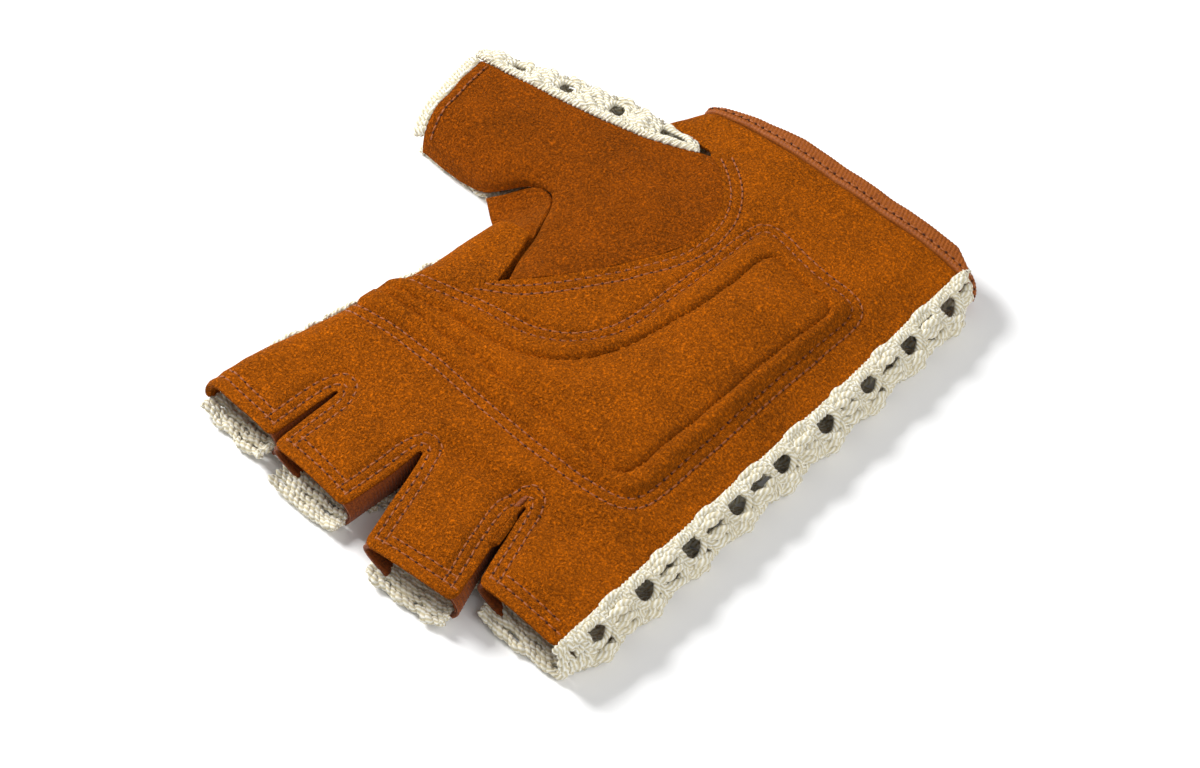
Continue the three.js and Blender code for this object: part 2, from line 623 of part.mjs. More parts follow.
// A side strip runs down one finger, round the crotch and up the next
function makeFork(lower, upper) {
  const first = FINGERS[lower];
  const second = FINGERS[upper];
  const rootY = Math.min(first.rootY, second.rootY);
  const path = [];
  [1, 0.72, 0.44, 0.16].forEach((share) => {
    const length = first.tipY[1] - 1.2 - first.rootY;
    path.push([tongueX(first, share, 1) - FORK_INSET, first.rootY + length * share, -1]);
  });
  const middleX = (first.rootTo + second.rootFrom) / 2;
  path.push([middleX - FORK_INSET, rootY - FORK_SINK * 0.4, -0.7]);
  path.push([middleX, rootY - FORK_SINK, 0]);
  path.push([middleX + FORK_INSET, rootY - FORK_SINK * 0.4, 0.7]);
  [0.16, 0.44, 0.72, 1].forEach((share) => {
    const length = second.tipY[0] - 1.2 - second.rootY;
    path.push([tongueX(second, share, 0) + FORK_INSET, second.rootY + length * share, 1]);
  });
  const sections = path.map(([x, y, side]) => {
    const inward = new THREE.Vector2(side, -Math.sqrt(1 - side * side)).multiplyScalar(STRETCH_CLOTH);
    const top = crown(x, y) - FORK_TOP_CLEAR;
    return [
      new THREE.Vector3(x, y, FORK_LOW_Z),
      new THREE.Vector3(x, y, top),
      new THREE.Vector3(x + inward.x, y + inward.y, top),
      new THREE.Vector3(x + inward.x, y + inward.y, FORK_LOW_Z),
    ];
  });
  return band(sections, false);
}

function makeCuffBinding() {
  const y = CUFF.y - 2;
  const loop = [];
  [[-43.6, 0], [-45.8, 1.6], [-46.6, 4.6], [-45.8, 8.0], [-43.4, 10.0]].forEach(([x, z]) => loop.push([x, z]));
  const shoulder = at(WRIST_SIDE, y) - SIDE_ROUND;
  const steps = 12;
  for (let k = 1; k <= steps; k += 1) {
    const x = lerp(-43.4, shoulder, k / steps);
    loop.push([x, crown(x, y)]);
  }
  const topZ = crown(shoulder, y);
  [0.35, 0.7, 1].forEach((share) => {
    const angle = (share * Math.PI) / 2;
    loop.push([shoulder + SIDE_ROUND * Math.sin(angle), topZ - (topZ - 3) * (1 - Math.cos(angle))]);
  });
  loop.push([shoulder + SIDE_ROUND - 1.6, 0]);
  const bottomSteps = 8;
  for (let k = 1; k < bottomSteps; k += 1) loop.push([lerp(shoulder + SIDE_ROUND - 1.6, -43.6, k / bottomSteps), 0]);
  const count = loop.length;
  const sections = loop.map(([x, z], k) => {
    const before = loop[(k + count - 1) % count];
    const after = loop[(k + 1) % count];
    const inward = new THREE.Vector2(after[1] - before[1], before[0] - after[0]).normalize().multiplyScalar(TAPE);
    const near = cuffY(x) - PIECE_GAP * 1.3;
    const far = near - at(TAPE_WIDTH.map((row) => ({ y: row.x, width: row.width })), x, 'width');
    return [
      new THREE.Vector3(x, far, z),
      new THREE.Vector3(x + inward.x, far, z + inward.y),
      new THREE.Vector3(x + inward.x, near, z + inward.y),
      new THREE.Vector3(x, near, z),
    ];
  });
  return band(sections, true);
}

const suedeMaterial = () => new THREE.MeshStandardMaterial({ color: 0xb0611c, roughness: 0.95, metalness: 0 });
const netMaterial = () => new THREE.MeshStandardMaterial({ color: 0xefeadb, roughness: 0.9, metalness: 0 });
const clothMaterial = () => new THREE.MeshStandardMaterial({ color: 0x9c4d17, roughness: 0.85, metalness: 0 });

const glove = new THREE.Group();
const hand = new THREE.Group();
hand.position.set(PLAN_SHIFT.x, PLAN_SHIFT.y, 0);
glove.add(hand);

const pieces = [
  { name: 'palm_panel', geometry: makePalmPanel(), material: suedeMaterial() },
  { name: 'palm_pad', geometry: makePalmPad(), material: suedeMaterial() },
  { name: 'thumb_front', geometry: makeThumbFront(), material: suedeMaterial() },
  { name: 'thumb_gusset', geometry: makeGusset(), material: suedeMaterial() },
  { name: 'crochet_back', geometry: makeBack(), material: netMaterial() },
  { name: 'crochet_thumb', geometry: makeThumbBack(), material: netMaterial() },
  ...[0, 1, 2].map((order) => ({
    name: `fork_${FINGERS[order].name}_${FINGERS[order + 1].name}`,
    geometry: makeFork(order, order + 1),
    material: clothMaterial(),
  })),
  { name: 'cuff_binding', geometry: makeCuffBinding(), material: clothMaterial() },
];
pieces.forEach(({ name, geometry, material }) => {
  const mesh = new THREE.Mesh(geometry, material);
  mesh.name = name;
  hand.add(mesh);
});

export default glove;
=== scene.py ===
import logging
import math
from collections.abc import Callable
from dataclasses import dataclass
from enum import Enum

import bpy
import numpy as np
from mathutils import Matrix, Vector
from mathutils.geometry import delaunay_2d_cdt


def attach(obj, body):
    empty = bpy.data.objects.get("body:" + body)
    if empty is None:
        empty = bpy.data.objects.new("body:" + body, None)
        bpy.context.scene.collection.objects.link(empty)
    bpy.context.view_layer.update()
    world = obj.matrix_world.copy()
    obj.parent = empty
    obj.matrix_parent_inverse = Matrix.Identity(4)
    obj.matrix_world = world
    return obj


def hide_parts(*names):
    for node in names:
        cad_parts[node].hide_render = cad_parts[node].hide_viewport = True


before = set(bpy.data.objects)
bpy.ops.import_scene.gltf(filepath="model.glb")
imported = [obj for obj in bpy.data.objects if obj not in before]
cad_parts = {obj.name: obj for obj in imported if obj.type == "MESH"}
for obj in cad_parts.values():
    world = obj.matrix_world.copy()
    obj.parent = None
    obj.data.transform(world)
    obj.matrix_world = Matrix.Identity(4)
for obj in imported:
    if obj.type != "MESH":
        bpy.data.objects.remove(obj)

# A crochet-backed, suede-palmed fingerless cycling glove that lies palm up.
# Sizes are millimetres in the hand's own plan, +Y to the fingers and +X to the thumb.

LOG = logging.getLogger("glove")
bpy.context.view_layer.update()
MM = 0.001
TURN = 2.0 * math.pi
TINY = 1e-9
SHARP_ANGLE = math.radians(55.0)
PLAN_SHIFT = np.array([-16.3, 4.44, 0.0])
BODY = "root"
CUFF_Y = -71.6
KNUCKLE_Y = 44.0

Array = np.ndarray
Lines = list[Array]
Rows = tuple[tuple[float, ...], ...]
Colour = tuple[float, float, float]
Socket = bpy.types.NodeSocket
Material = bpy.types.Material
Object = bpy.types.Object


# Lines and fields in plan

def smooth(value: Array | float) -> Array:
    """Eases a share from 0 to 1."""
    share = np.clip(value, 0.0, 1.0)
    return share * share * (3.0 - 2.0 * share)


def bell(value: Array) -> Array:
    """A hump of height 1 round zero."""
    return np.exp(-(value**2))


def look_up(rows: Rows, along: Array | float, column: int = 1) -> Array:
    """Reads one column of a table whose rows rise with their first number."""
    return np.interp(along, [row[0] for row in rows], [row[column] for row in rows])


def soft_noise(x: Array, y: Array, size: float, seed: int) -> Array:
    """Smooth hills and hollows, from about -1 to 1.

    Args:
        x: First coordinates.
        y: Second coordinates.
        size: Distance from one hill to the next.
        seed: Chooses the pattern.

    Returns:
        One height for each point.
    """
    random = np.random.default_rng(seed)
    total = np.zeros(np.shape(x))
    waves = 9
    for _ in range(waves):
        angle, phase = random.uniform(0.0, TURN, 2)
        pace = TURN / (size * random.uniform(0.75, 1.7))
        total = total + np.cos(pace * (x * math.cos(angle) + y * math.sin(angle)) + phase)
    return total / math.sqrt(waves)


def unit(vectors: Array) -> Array:
    """The vectors of an array's last axis at length 1."""
    return vectors / np.maximum(np.linalg.norm(vectors, axis=-1), TINY)[..., None]


def left_of(line: Array, closed: bool) -> Array:
    """Directions of length 1 to the left of a plan line, at each of its points."""
    ahead = np.roll(line, -1, axis=0) - np.roll(line, 1, axis=0) if closed else np.gradient(line, axis=0)
    return unit(ahead) @ np.array([[0.0, 1.0], [-1.0, 0.0]])


def run_of(line: Array) -> Array:
    """Distance along a line at each of its points."""
    return np.concatenate([[0.0], np.cumsum(np.linalg.norm(np.diff(line, axis=0), axis=1))])


def run_on(rows: Array) -> Array:
    """The rows with one more at each end, in line with the last two."""
    return np.concatenate([2 * rows[:1] - rows[1:2], rows, 2 * rows[-1:] - rows[-2:-1]])


def between(a: Array, b: Array, c: Array, d: Array, share: Array) -> Array:
    """The smooth curve from b to c of four points in a row."""
    bends = (2 * a - 5 * b + 4 * c - d) * share**2 + (3 * b - a - 3 * c + d) * share**3
    return 0.5 * (2 * b + (c - a) * share + bends)


def spaced(line: Array, step: float, closed: bool = False) -> Array:
    """The same line with its points an even step apart.

    Args:
        line: The points.
        step: The distance wanted from point to point.
        closed: Whether the last point joins the first.

    Returns:
        The new points.
    """
    points = np.vstack([line, line[:1]]) if closed else line
    run = run_of(points)
    stops = np.linspace(0.0, run[-1], max(2, round(run[-1] / step)) + 1)
    if closed:
        stops = stops[:-1]
    return np.stack([np.interp(stops, run, column) for column in points.T], axis=1)


def curve_through(points: list | tuple | Array, step: float, closed: bool = False) -> Array:
    """A smooth line through points.

    Args:
        points: The points, in order.
        step: The distance between the line's own points.
        closed: Whether the last point joins the first.

    Returns:
        The line.
    """
    given = np.asarray(points, float)
    knots = np.vstack([given[-1:], given, given[:2]]) if closed else run_on(given)
    share = np.linspace(0.0, 1.0, 14, endpoint=False)[:, None]
    parts = [between(*knots[k - 1:k + 3], share) for k in range(1, len(knots) - 2)]
    if not closed:
        parts.append(given[-1:])
    return spaced(np.vstack(parts), step, closed)


def rounded(corners: list[tuple[float, float, float]], step: float = 0.5) -> Array:
    """A closed outline whose corners are cut by curves.

    Args:
        corners: Rows of x, y and radius.
        step: The distance between points on a curve.

    Returns:
        The outline.
    """
    line = []
    for k, (x, y, radius) in enumerate(corners):
        here = np.array([x, y])
        if radius <= 0.0:
            line.append(here)
            continue
        before = np.array(corners[k - 1][:2]) - here
        after = np.array(corners[(k + 1) % len(corners)][:2]) - here
        reach = min(radius, 0.45 * np.linalg.norm(before), 0.45 * np.linalg.norm(after))
        start, end = here + unit(before) * reach, here + unit(after) * reach
        for share in np.linspace(0.0, 1.0, max(3, round(reach / step) + 2)):
            line.append((1 - share)**2 * start + 2 * share * (1 - share) * here + share**2 * end)
    return np.array(line)


def distance_to(line: Array, points: Array, closed: bool = False) -> Array:
    """Distance from each point to the nearest place on a line.

    Args:
        line: The line's points.
        points: The points to measure from.
        closed: Whether the line's last point joins its first.

    Returns:
        One distance for each point.
    """
    ends = np.roll(line, -1, axis=0) if closed else line[1:]
    best = np.full(len(points), 1e9)
    for start, end in zip(line, ends):
        along = end - start
        share = np.clip(((points - start) @ along) / max(float(along @ along), 1e-12), 0.0, 1.0)
        gap = points - start - share[:, None] * along
        best = np.minimum(best, np.einsum("ij,ij->i", gap, gap))
    return np.sqrt(best)


def within(outline: Array, points: Array) -> Array:
    """Tells which points lie inside an outline.

    Args:
        outline: The closed outline.
        points: The points to test.

    Returns:
        True or False for each point.
    """
    x, y = points[:, 0], points[:, 1]
    inside = np.zeros(len(points), bool)
    for (x0, y0), (x1, y1) in zip(outline, np.roll(outline, -1, axis=0)):
        if y0 != y1:
            inside ^= ((y0 > y) != (y1 > y)) & (x < (x1 - x0) * (y - y0) / (y1 - y0) + x0)
    return inside


def beside(line: Array, offset: float, closed: bool = False) -> Array:
    """A line that runs a distance to the left of a plan line, with its kinks cut off."""
    moved = line + offset * left_of(line, closed)
    return moved[distance_to(line, moved, closed) > abs(offset) - 0.08]


def strands_of(along: Array, turns: float, count: int = 3) -> Lines:
    """The phase of each strand of a plait that turns so many times in each unit along it."""
    return [along * TURN * turns + strand * TURN / count for strand in range(count)]


def sized(points: Array, size: Array | float) -> Array:
    """Points with the yarn's size as a fourth column."""
    return np.hstack([points, np.broadcast_to(size, len(points))[:, None]])


# The form of the hand

@dataclass(frozen=True)
class HandForm:
    """The suede's outer face over the plan, as the solids have it."""

    little_edge_z: float = 10.0
    little_roll: float = 13.0
    suede_low_z: float = 2.55
    side_round: float = 7.6
    finger_arch: float = 0.9
    wrist_drop: float = 3.0
    crease_depth: float = 0.9
    # y, height
    crown_rows: Rows = ((-78, 11.2), (-60, 12.3), (-40, 13.3), (-15, 14.0),
                        (10, 13.6), (30, 12.6), (45, 11.8), (72, 10.9))
    # x, y, reach in x, reach in y, height
    swellings: Rows = ((27, -34, 15, 15, 1.6), (39, -9, 9, 11, -2.4))
    # y, x
    little_edge: Rows = ((-78, -43.0), (-30, -44.4), (70, -44.7))
    index_side: Rows = ((-20, 44.6), (-3, 46.8), (6, 46.6), (18, 49.4),
                        (37, 54.3), (51, 58.3), (64, 59.8))
    wrist_side: Rows = ((-78, 32.6), (-72, 34.6), (-64, 38.4))

    def crown(self, x: Array | float, y: Array | float) -> Array:
        """Height of the outer face before a side rolls down.

        Args:
            x: Plan x.
            y: Plan y.

        Returns:
            One height for each point.
        """
        base = look_up(self.crown_rows, y)
        rolled = 1 - smooth((x - look_up(self.little_edge, y)) / self.little_roll)
        height = base - (base - self.little_edge_z) * rolled
        height = height - self.wrist_drop * smooth((x - 5) / 28) * smooth((-50 - y) / 15)
        height = height - self.crease_depth * bell((y - 36 - 0.35 * (x + 30)) / 5) * smooth((-x - 4) / 14)
        for at_x, at_y, reach_x, reach_y, rise in self.swellings:
            height = height + rise * bell((x - at_x) / reach_x) * bell((y - at_y) / reach_y)
        return height

    def side_x(self, y: Array | float) -> Array:
        """Outermost x of the index side, or of the wrist below the thumb."""
        return np.where(y < -45, look_up(self.wrist_side, y), look_up(self.index_side, y))

    def side_reach(self, y: float) -> float:
        """Unrolled distance at which the suede has turned all the way down."""
        return float(self.side_x(y)) + self.side_round * (math.pi / 2 - 1)

    def place(self, u: Array, y: Array, lift: Array | float = 0.0) -> Array:
        """Points on the face or above it.

        Args:
            u: Unrolled distances across the hand.
            y: Plan y.
            lift: How far each point stands off the face.

        Returns:
            The points.
        """
        shoulder = self.side_x(y) - self.side_round
        bend = np.clip((u - shoulder) / self.side_round, 0.0, math.pi / 2)
        flat_x = np.minimum(u, shoulder)
        top = self.crown(flat_x, y)
        drop = (top - self.suede_low_z) * (1 - np.cos(bend))
        x = flat_x + (self.side_round + lift) * np.sin(bend)
        return np.stack([x, y, top - drop + lift * np.cos(bend)], axis=1)


@dataclass(frozen=True)
class Tongue:
    """One finger of the palm: its edges at the root and at the tip."""

    root_from: float
    root_to: float
    tip_from: float
    tip_to: float
    tip_from_y: float
    tip_to_y: float
    root_y: float

    def left(self, y: Array | float) -> Array:
        """X of the edge towards the little finger."""
        share = np.clip((y - self.root_y) / (self.tip_from_y - self.root_y), 0, 1)
        return self.root_from + (self.tip_from - self.root_from) * share

    def right(self, y: Array | float) -> Array:
        """X of the edge towards the thumb."""
        share = np.clip((y - self.root_y) / (self.tip_to_y - self.root_y), 0, 1)
        return self.root_to + (self.tip_to - self.root_to) * share


FORM = HandForm()
TONGUES = (
    Tongue(-44.7, -16.5, -44.2, -22.2, 61.9, 61.2, 40.5),
    Tongue(-15.3, 8.5, -21.4, 2.0, 67.8, 69.4, 45.0),
    Tongue(9.7, 33.3, 11.8, 34.2, 65.6, 63.7, 45.0),
    Tongue(34.5, 55.9, 36.1, 59.8, 62.6, 60.6, 45.0),
)
LITTLE, INDEX = 0, 3
THUMB_SEAM = ((27.8, 0.6), (19.2, -8.6), (11.4, -20.0), (6.2, -30.0),
              (4.6, -40.0), (7.6, -49.0), (14.0, -56.0), (20.6, -60.6))


def cuff_y(x: Array | float) -> Array:
    """Where the suede ends at the cuff."""
    return CUFF_Y - 0.055 * (x + 10) + 0.6 * smooth((-38 - x) / 6) + smooth((x - 20) / 14)


# Surfaces and pieces

def placed(name: str, data: bpy.types.ID) -> Object:
    """Puts a mesh, lamp or camera into the scene.

    Args:
        name: Its name.
        data: The mesh, lamp or camera.

    Returns:
        The object.
    """
    made = bpy.data.objects.new(name, data)
    bpy.context.scene.collection.objects.link(made)
    return made


def dress(piece: Object, node: str = "") -> Object:
    """Ties a piece to the glove's body.

    Args:
        piece: The finished piece.
        node: The solid that it stands for, if it stands for one.

    Returns:
        The same piece.
    """
    if node:
        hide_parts(node)
    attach(piece, BODY)
    return piece


def open_edges(faces: list) -> list[tuple[int, int]]:
    """The edges that only one face has, in that face's direction."""
    edges = {(a, b): True for face in faces for a, b in zip(face, face[1:] + face[:1])}
    return [edge for edge in edges if (edge[1], edge[0]) not in edges]


def grid_faces(rows: int, columns: int) -> list[list[int]]:
    """Faces of a grid of points that is kept row by row."""
    starts = [j * columns + i for j in range(rows - 1) for i in range(columns - 1)]
    return [[k, k + 1, k + columns + 1, k + columns] for k in starts]


@dataclass
class Skin:
    """Points and faces of a surface, before it becomes a mesh."""

    points: Array
    faces: list

    def normals(self) -> Array:
        """Outward direction at each point.

        Returns:
            One direction of length 1 for each point.
        """
        total = np.zeros_like(self.points)
        by_size: dict[int, list] = {}
        for face in self.faces:
            by_size.setdefault(len(face), []).append(face)
        for size, group in by_size.items():
            ring = np.array(group)
            first = self.points[ring[:, 2]] - self.points[ring[:, 0]]
            second = self.points[ring[:, size - 1]] - self.points[ring[:, 1]]
            for corner in range(size):
                np.add.at(total, ring[:, corner], np.cross(first, second))
        return unit(total)

    def upright(self) -> "Skin":
        """The skin, turned over if it faces down at its highest point."""
        down = self.normals()[np.argmax(self.points[:, 2]), 2] < 0
        return Skin(self.points, [face[::-1] for face in self.faces]) if down else self

    def thickened(self, thickness: float, bulge: float = 0.3, floor: float = 0.05) -> "Skin":
        """A closed wall behind this face, with a rounded rim.

        Args:
            thickness: How far the other face lies behind this one.
            bulge: How far the rim's middle stands out.
            floor: Lowest height that the other face may have.

        Returns:
            The closed skin.
        """
        count = len(self.points)
        normal = self.normals()
        behind = self.points - normal * thickness
        behind[:, 2] = np.maximum(behind[:, 2], floor)
        rim = open_edges(self.faces)
        outward = np.zeros_like(self.points)
        for a, b in rim:
            side = np.cross(self.points[b] - self.points[a], normal[a])
            outward[a] += side
            outward[b] += side
        middle = (self.points + behind) / 2 + unit(outward) * bulge
        rim_points = sorted({k for edge in rim for k in edge})
        at = {k: 2 * count + n for n, k in enumerate(rim_points)}
        faces = self.faces + [[k + count for k in reversed(face)] for face in self.faces]
        for a, b in rim:
            faces += [[b, a, at[a], at[b]], [at[b], at[a], a + count, b + count]]
        return Skin(np.vstack([self.points, behind, middle[rim_points]]), faces)

    def piece(self, name: str, material: Material, slot: str, node: str) -> Object:
        """Makes the piece, in metres in the row frame, with its faces smooth.

        Args:
            name: The piece's name.
            material: Its finish.
            slot: Not used.
            node: The solid that it stands for.

        Returns:
            The piece.
        """
        mesh = bpy.data.meshes.new(name)
        mesh.from_pydata(((self.points + PLAN_SHIFT) * MM).tolist(), [], self.faces)
        mesh.update()
        mesh.polygons.foreach_set("use_smooth", [True] * len(mesh.polygons))
        mesh.set_sharp_from_angle(angle=SHARP_ANGLE)
        mesh.materials.append(material)
        LOG.info("%s: %d faces", name, len(self.faces))
        return dress(placed(name, mesh), node)


# Node trees

class Nodes:
    """A node tree that is built step by step."""

    def __init__(self, tree: bpy.types.NodeTree) -> None:
        """Takes the tree."""
        self.tree = tree

    def feed(self, socket: Socket, value: object) -> None:
        """Gives an input a value or another node's output.

        Args:
            socket: The input.
            value: The value or the output.
        """
        if isinstance(value, bpy.types.NodeSocket):
            self.tree.links.new(value, socket)
        else:
            socket.default_value = value

    def node(self, kind: str, inputs: dict | None = None, **settings: object) -> bpy.types.Node:
        """Adds a node.

        Args:
            kind: Blender's name for it.
            inputs: What goes in by name or number, a value or another node's output.
            settings: The node's own options.

        Returns:
            The node.
        """
        made = self.tree.nodes.new(kind)
        for name, value in settings.items():
            setattr(made, name, value)
        for key, value in (inputs or {}).items():
            self.feed(made.inputs[key], value)
        return made

    def maths(self, action: str, *values: Socket | float) -> Socket:
        """One sum on outputs and numbers."""
        return self.node("ShaderNodeMath", dict(enumerate(values)), operation=action).outputs[0]

    def open(self, inputs: dict[str, tuple[str, object]], outputs: dict[str, str]) -> None:
        """Gives the tree its named inputs and outputs.

        Args:
            inputs: Kind and value of each input.
            outputs: Kind of each output.
        """
        face = self.tree.interface
        for key, (kind, value) in inputs.items():
            socket = face.new_socket(key, in_out="INPUT", socket_type="NodeSocket" + kind)
            if value is not None:
                socket.default_value = value
        for key, kind in outputs.items():
            face.new_socket(key, in_out="OUTPUT", socket_type="NodeSocket" + kind)
        self.given = self.node("NodeGroupInput").outputs
        self.result = self.node("NodeGroupOutput").inputs


class Shader(Nodes):
    """A material that is built step by step."""

    def __init__(self, name: str, surface: dict[str, object]) -> None:
        """Starts a material.

        Args:
            name: The material's name.
            surface: Values of its surface by name.
        """
        self.material = bpy.data.materials.new(name)
        self.material.use_nodes = True
        super().__init__(self.material.node_tree)
        self.surface = self.tree.nodes["Principled BSDF"].inputs
        for key, value in surface.items():
            self.feed(self.surface[key], value)

    def mix(self, share: Socket | float, low: Colour | Socket, high: Colour | Socket) -> Socket:
        """A colour between two others.

        Args:
            share: 0 for the first, 1 for the second.
            low: The first colour.
            high: The second colour.

        Returns:
            The colour's output.
        """
        made = self.node("ShaderNodeMix", {"Factor": share}, data_type="RGBA")
        ends = [socket for socket in made.inputs if socket.type == "RGBA"]
        for socket, value in zip(ends, (low, high)):
            self.feed(socket, (*value, 1.0) if isinstance(value, tuple) else value)
        return next(socket for socket in made.outputs if socket.type == "RGBA")


def nap_effect() -> bpy.types.NodeTree:
    """Brushed fibre: fine grain, clumps of nap and broad shading, as masks and a height.

    Returns:
        The shared shader group.
    """
    nap = Nodes(bpy.data.node_groups.new("Nap", "ShaderNodeTree"))
    nap.open({"Place": ("Vector", None), "Grain Scale": ("Float", 1900.0), "Clump Scale": ("Float", 800.0),
              "Shade Scale": ("Float", 75.0)}, {"Grain": "Float", "Shade": "Float", "Height": "Float"})
    masks = {}
    # name, roughness, lowest and highest value that shows
    for name, roughness, low, high in (("Grain", 0.75, 0.40, 0.60), ("Clump", 0.65, 0.36, 0.64),
                                       ("Shade", 0.55, 0.30, 0.72)):
        noise = nap.node("ShaderNodeTexNoise", {
            "Vector": nap.given["Place"], "Scale": nap.given[name + " Scale"],
            "Detail": 3.0, "Roughness": roughness})
        masks[name] = nap.node("ShaderNodeMapRange", {"Value": noise.outputs["Fac"], "From Min": low,
                                                      "From Max": high}).outputs["Result"]
    for name, grain, clump in (("Grain", 0.75, 0.25), ("Height", 0.5, 0.6)):
        clumps = nap.maths("MULTIPLY", masks["Clump"], clump)
        nap.feed(nap.result[name], nap.maths("MULTIPLY_ADD", masks["Grain"], grain, clumps))
    nap.feed(nap.result["Shade"], masks["Shade"])
    return nap.tree


@dataclass(frozen=True)
class Finish:
    """A finish in two tones of grain, which is also its relief."""

    name: str
    dark: Colour
    light: Colour
    roughness: float
    specular: float = 0.5
    sheen: float = 0.0
    grain_scale: float = 1900.0
    clump_scale: float = 800.0
    shade_scale: float = 75.0
    relief: float = 0.0
    relief_share: float = 0.7

    def material(self, nap: bpy.types.NodeTree) -> Material:
        """Makes the finish.

        Args:
            nap: The shared effect.

        Returns:
            The material.
        """
        shader = Shader(self.name, {"Roughness": self.roughness, "Specular IOR Level": self.specular,
                                    "Sheen Weight": self.sheen})
        place = shader.node("ShaderNodeTexCoord").outputs["Object"]
        masks = shader.node("ShaderNodeGroup", {
            "Place": place, "Grain Scale": self.grain_scale, "Clump Scale": self.clump_scale,
            "Shade Scale": self.shade_scale}, node_tree=nap).outputs
        colour, height = self.layers(shader, masks)
        shader.feed(shader.surface["Base Color"], colour)
        if self.relief > 0.0:
            bump = shader.node("ShaderNodeBump", {"Distance": self.relief, "Strength": self.relief_share,
                                                  "Height": height})
            shader.feed(shader.surface["Normal"], bump.outputs["Normal"])
        return shader.material

    def layers(self, shader: Shader, masks: bpy.types.bpy_prop_collection) -> tuple[Socket, Socket]:
        """Colour and height of the finish."""
        return shader.mix(masks["Grain"], self.dark, self.light), masks["Height"]


@dataclass(frozen=True)
class Suede(Finish):
    """Suede: grain and clumps in two browns under broad shading of the nap."""

    roughness: float = 0.92
    specular: float = 0.03
    sheen: float = 0.12
    relief: float = 0.00085
    relief_share: float = 1.0
    shading: float = 0.34
    lowest: float = 0.30
    highest: float = 0.86

    def layers(self, shader: Shader, masks: bpy.types.bpy_prop_collection) -> tuple[Socket, Socket]:
        """Colour and height of the suede.

        Args:
            shader: The material in the making.
            masks: Outputs of the shared effect.

        Returns:
            The two outputs.
        """
        grain, height = super().layers(shader, masks)
        ends = [tuple(share * part for part in self.light) for share in (self.lowest, self.highest)]
        shader.feed(shader.surface["Sheen Roughness"], 0.6)
        shader.feed(shader.surface["Sheen Tint"], (0.9, 0.42, 0.08, 1.0))
        return shader.mix(self.shading, grain, shader.mix(masks["Shade"], *ends)), height


@dataclass(frozen=True)
class Cotton(Finish):
    """Soft cotton yarn, whose plies follow each point's place on its strand, with painted shade in the
    grooves between the plies.
    """

    # Colour of the grooves between the plies: painted shade, darker and more olive than the yarn.
    furrow_shade: Colour = (0.62, 0.54, 0.34)
    plies: float = 3.0
    ply_length: float = 0.0011
    fuzz: float = 0.55

    def layers(self, shader: Shader, masks: bpy.types.bpy_prop_collection) -> tuple[Socket, Socket]:
        """Colour and height of the yarn.

        Args:
            shader: The material in the making.
            masks: Outputs of the shared effect.

        Returns:
            The two outputs.
        """
        strand = shader.node("ShaderNodeAttribute", attribute_name="strand").outputs["Vector"]
        x, y, along = shader.node("ShaderNodeSeparateXYZ", {0: strand}).outputs
        around = shader.maths("MULTIPLY", shader.maths("ARCTAN2", y, x), self.plies)
        wave = shader.maths("SINE", shader.maths("MULTIPLY_ADD", along, TURN / self.ply_length, around))
        ply = shader.node("ShaderNodeMapRange", {"From Min": -1.0, "Value": wave}).outputs[0]
        tone = shader.mix(masks["Shade"], self.dark, self.light)
        height = shader.maths("MULTIPLY_ADD", masks["Height"], self.fuzz, ply)
        # The grooves between the plies take the painted shade colour.
        return shader.mix(ply, self.furrow_shade, tone), height


class Finishes:
    """Every finish of the glove, made once."""

    def __init__(self) -> None:
        """Builds the shared effect and the materials."""
        nap = nap_effect()
        self.suede = Suede("suede_nap", (0.062, 0.009, 0.0), (0.72, 0.160, 0.0010)).material(nap)
        # A darker copy of the palm's suede for the thumb and the web: its darker colour is painted shade.
        self.suede_painted_shade = Suede("suede_nap_painted_shade", (0.048, 0.007, 0.0), (0.54, 0.110, 0.0008)).material(nap)
        self.cotton = Cotton("crochet_cotton", (0.84, 0.80, 0.68), (0.93, 0.92, 0.85), 0.88, 0.15, 0.15,
                             3600.0, 900.0, 180.0, relief=0.00016, relief_share=0.9).material(nap)
        self.ribbed = Finish("ribbed_stretch_cloth", (0.10, 0.019, 0.0010), (0.29, 0.064, 0.0020), 0.72, 0.25,
                             0.1, 3000.0, 1400.0, 120.0, relief=0.0001).material(nap)
        self.tape = Finish("grosgrain_tape", (0.16, 0.033, 0.0), (0.35, 0.088, 0.0010), 0.6, 0.3,
                           0.0, 3000.0, 1200.0, 140.0, relief=0.00008).material(nap)
        self.thread = Finish("sewing_thread", (0.17, 0.038, 0.0), (0.42, 0.105, 0.0010), 0.55, 0.5,
                             0.0, 5200.0, 2600.0, 200.0, relief=0.00006, relief_share=0.6).material(nap)
        # Near-black grains sunk at the needle holes: painted shade in the holes.
        self.hole = Finish("needle_hole_shade", (0.042, 0.0084, 0.0), (0.060, 0.012, 0.0), 0.95).material(nap)


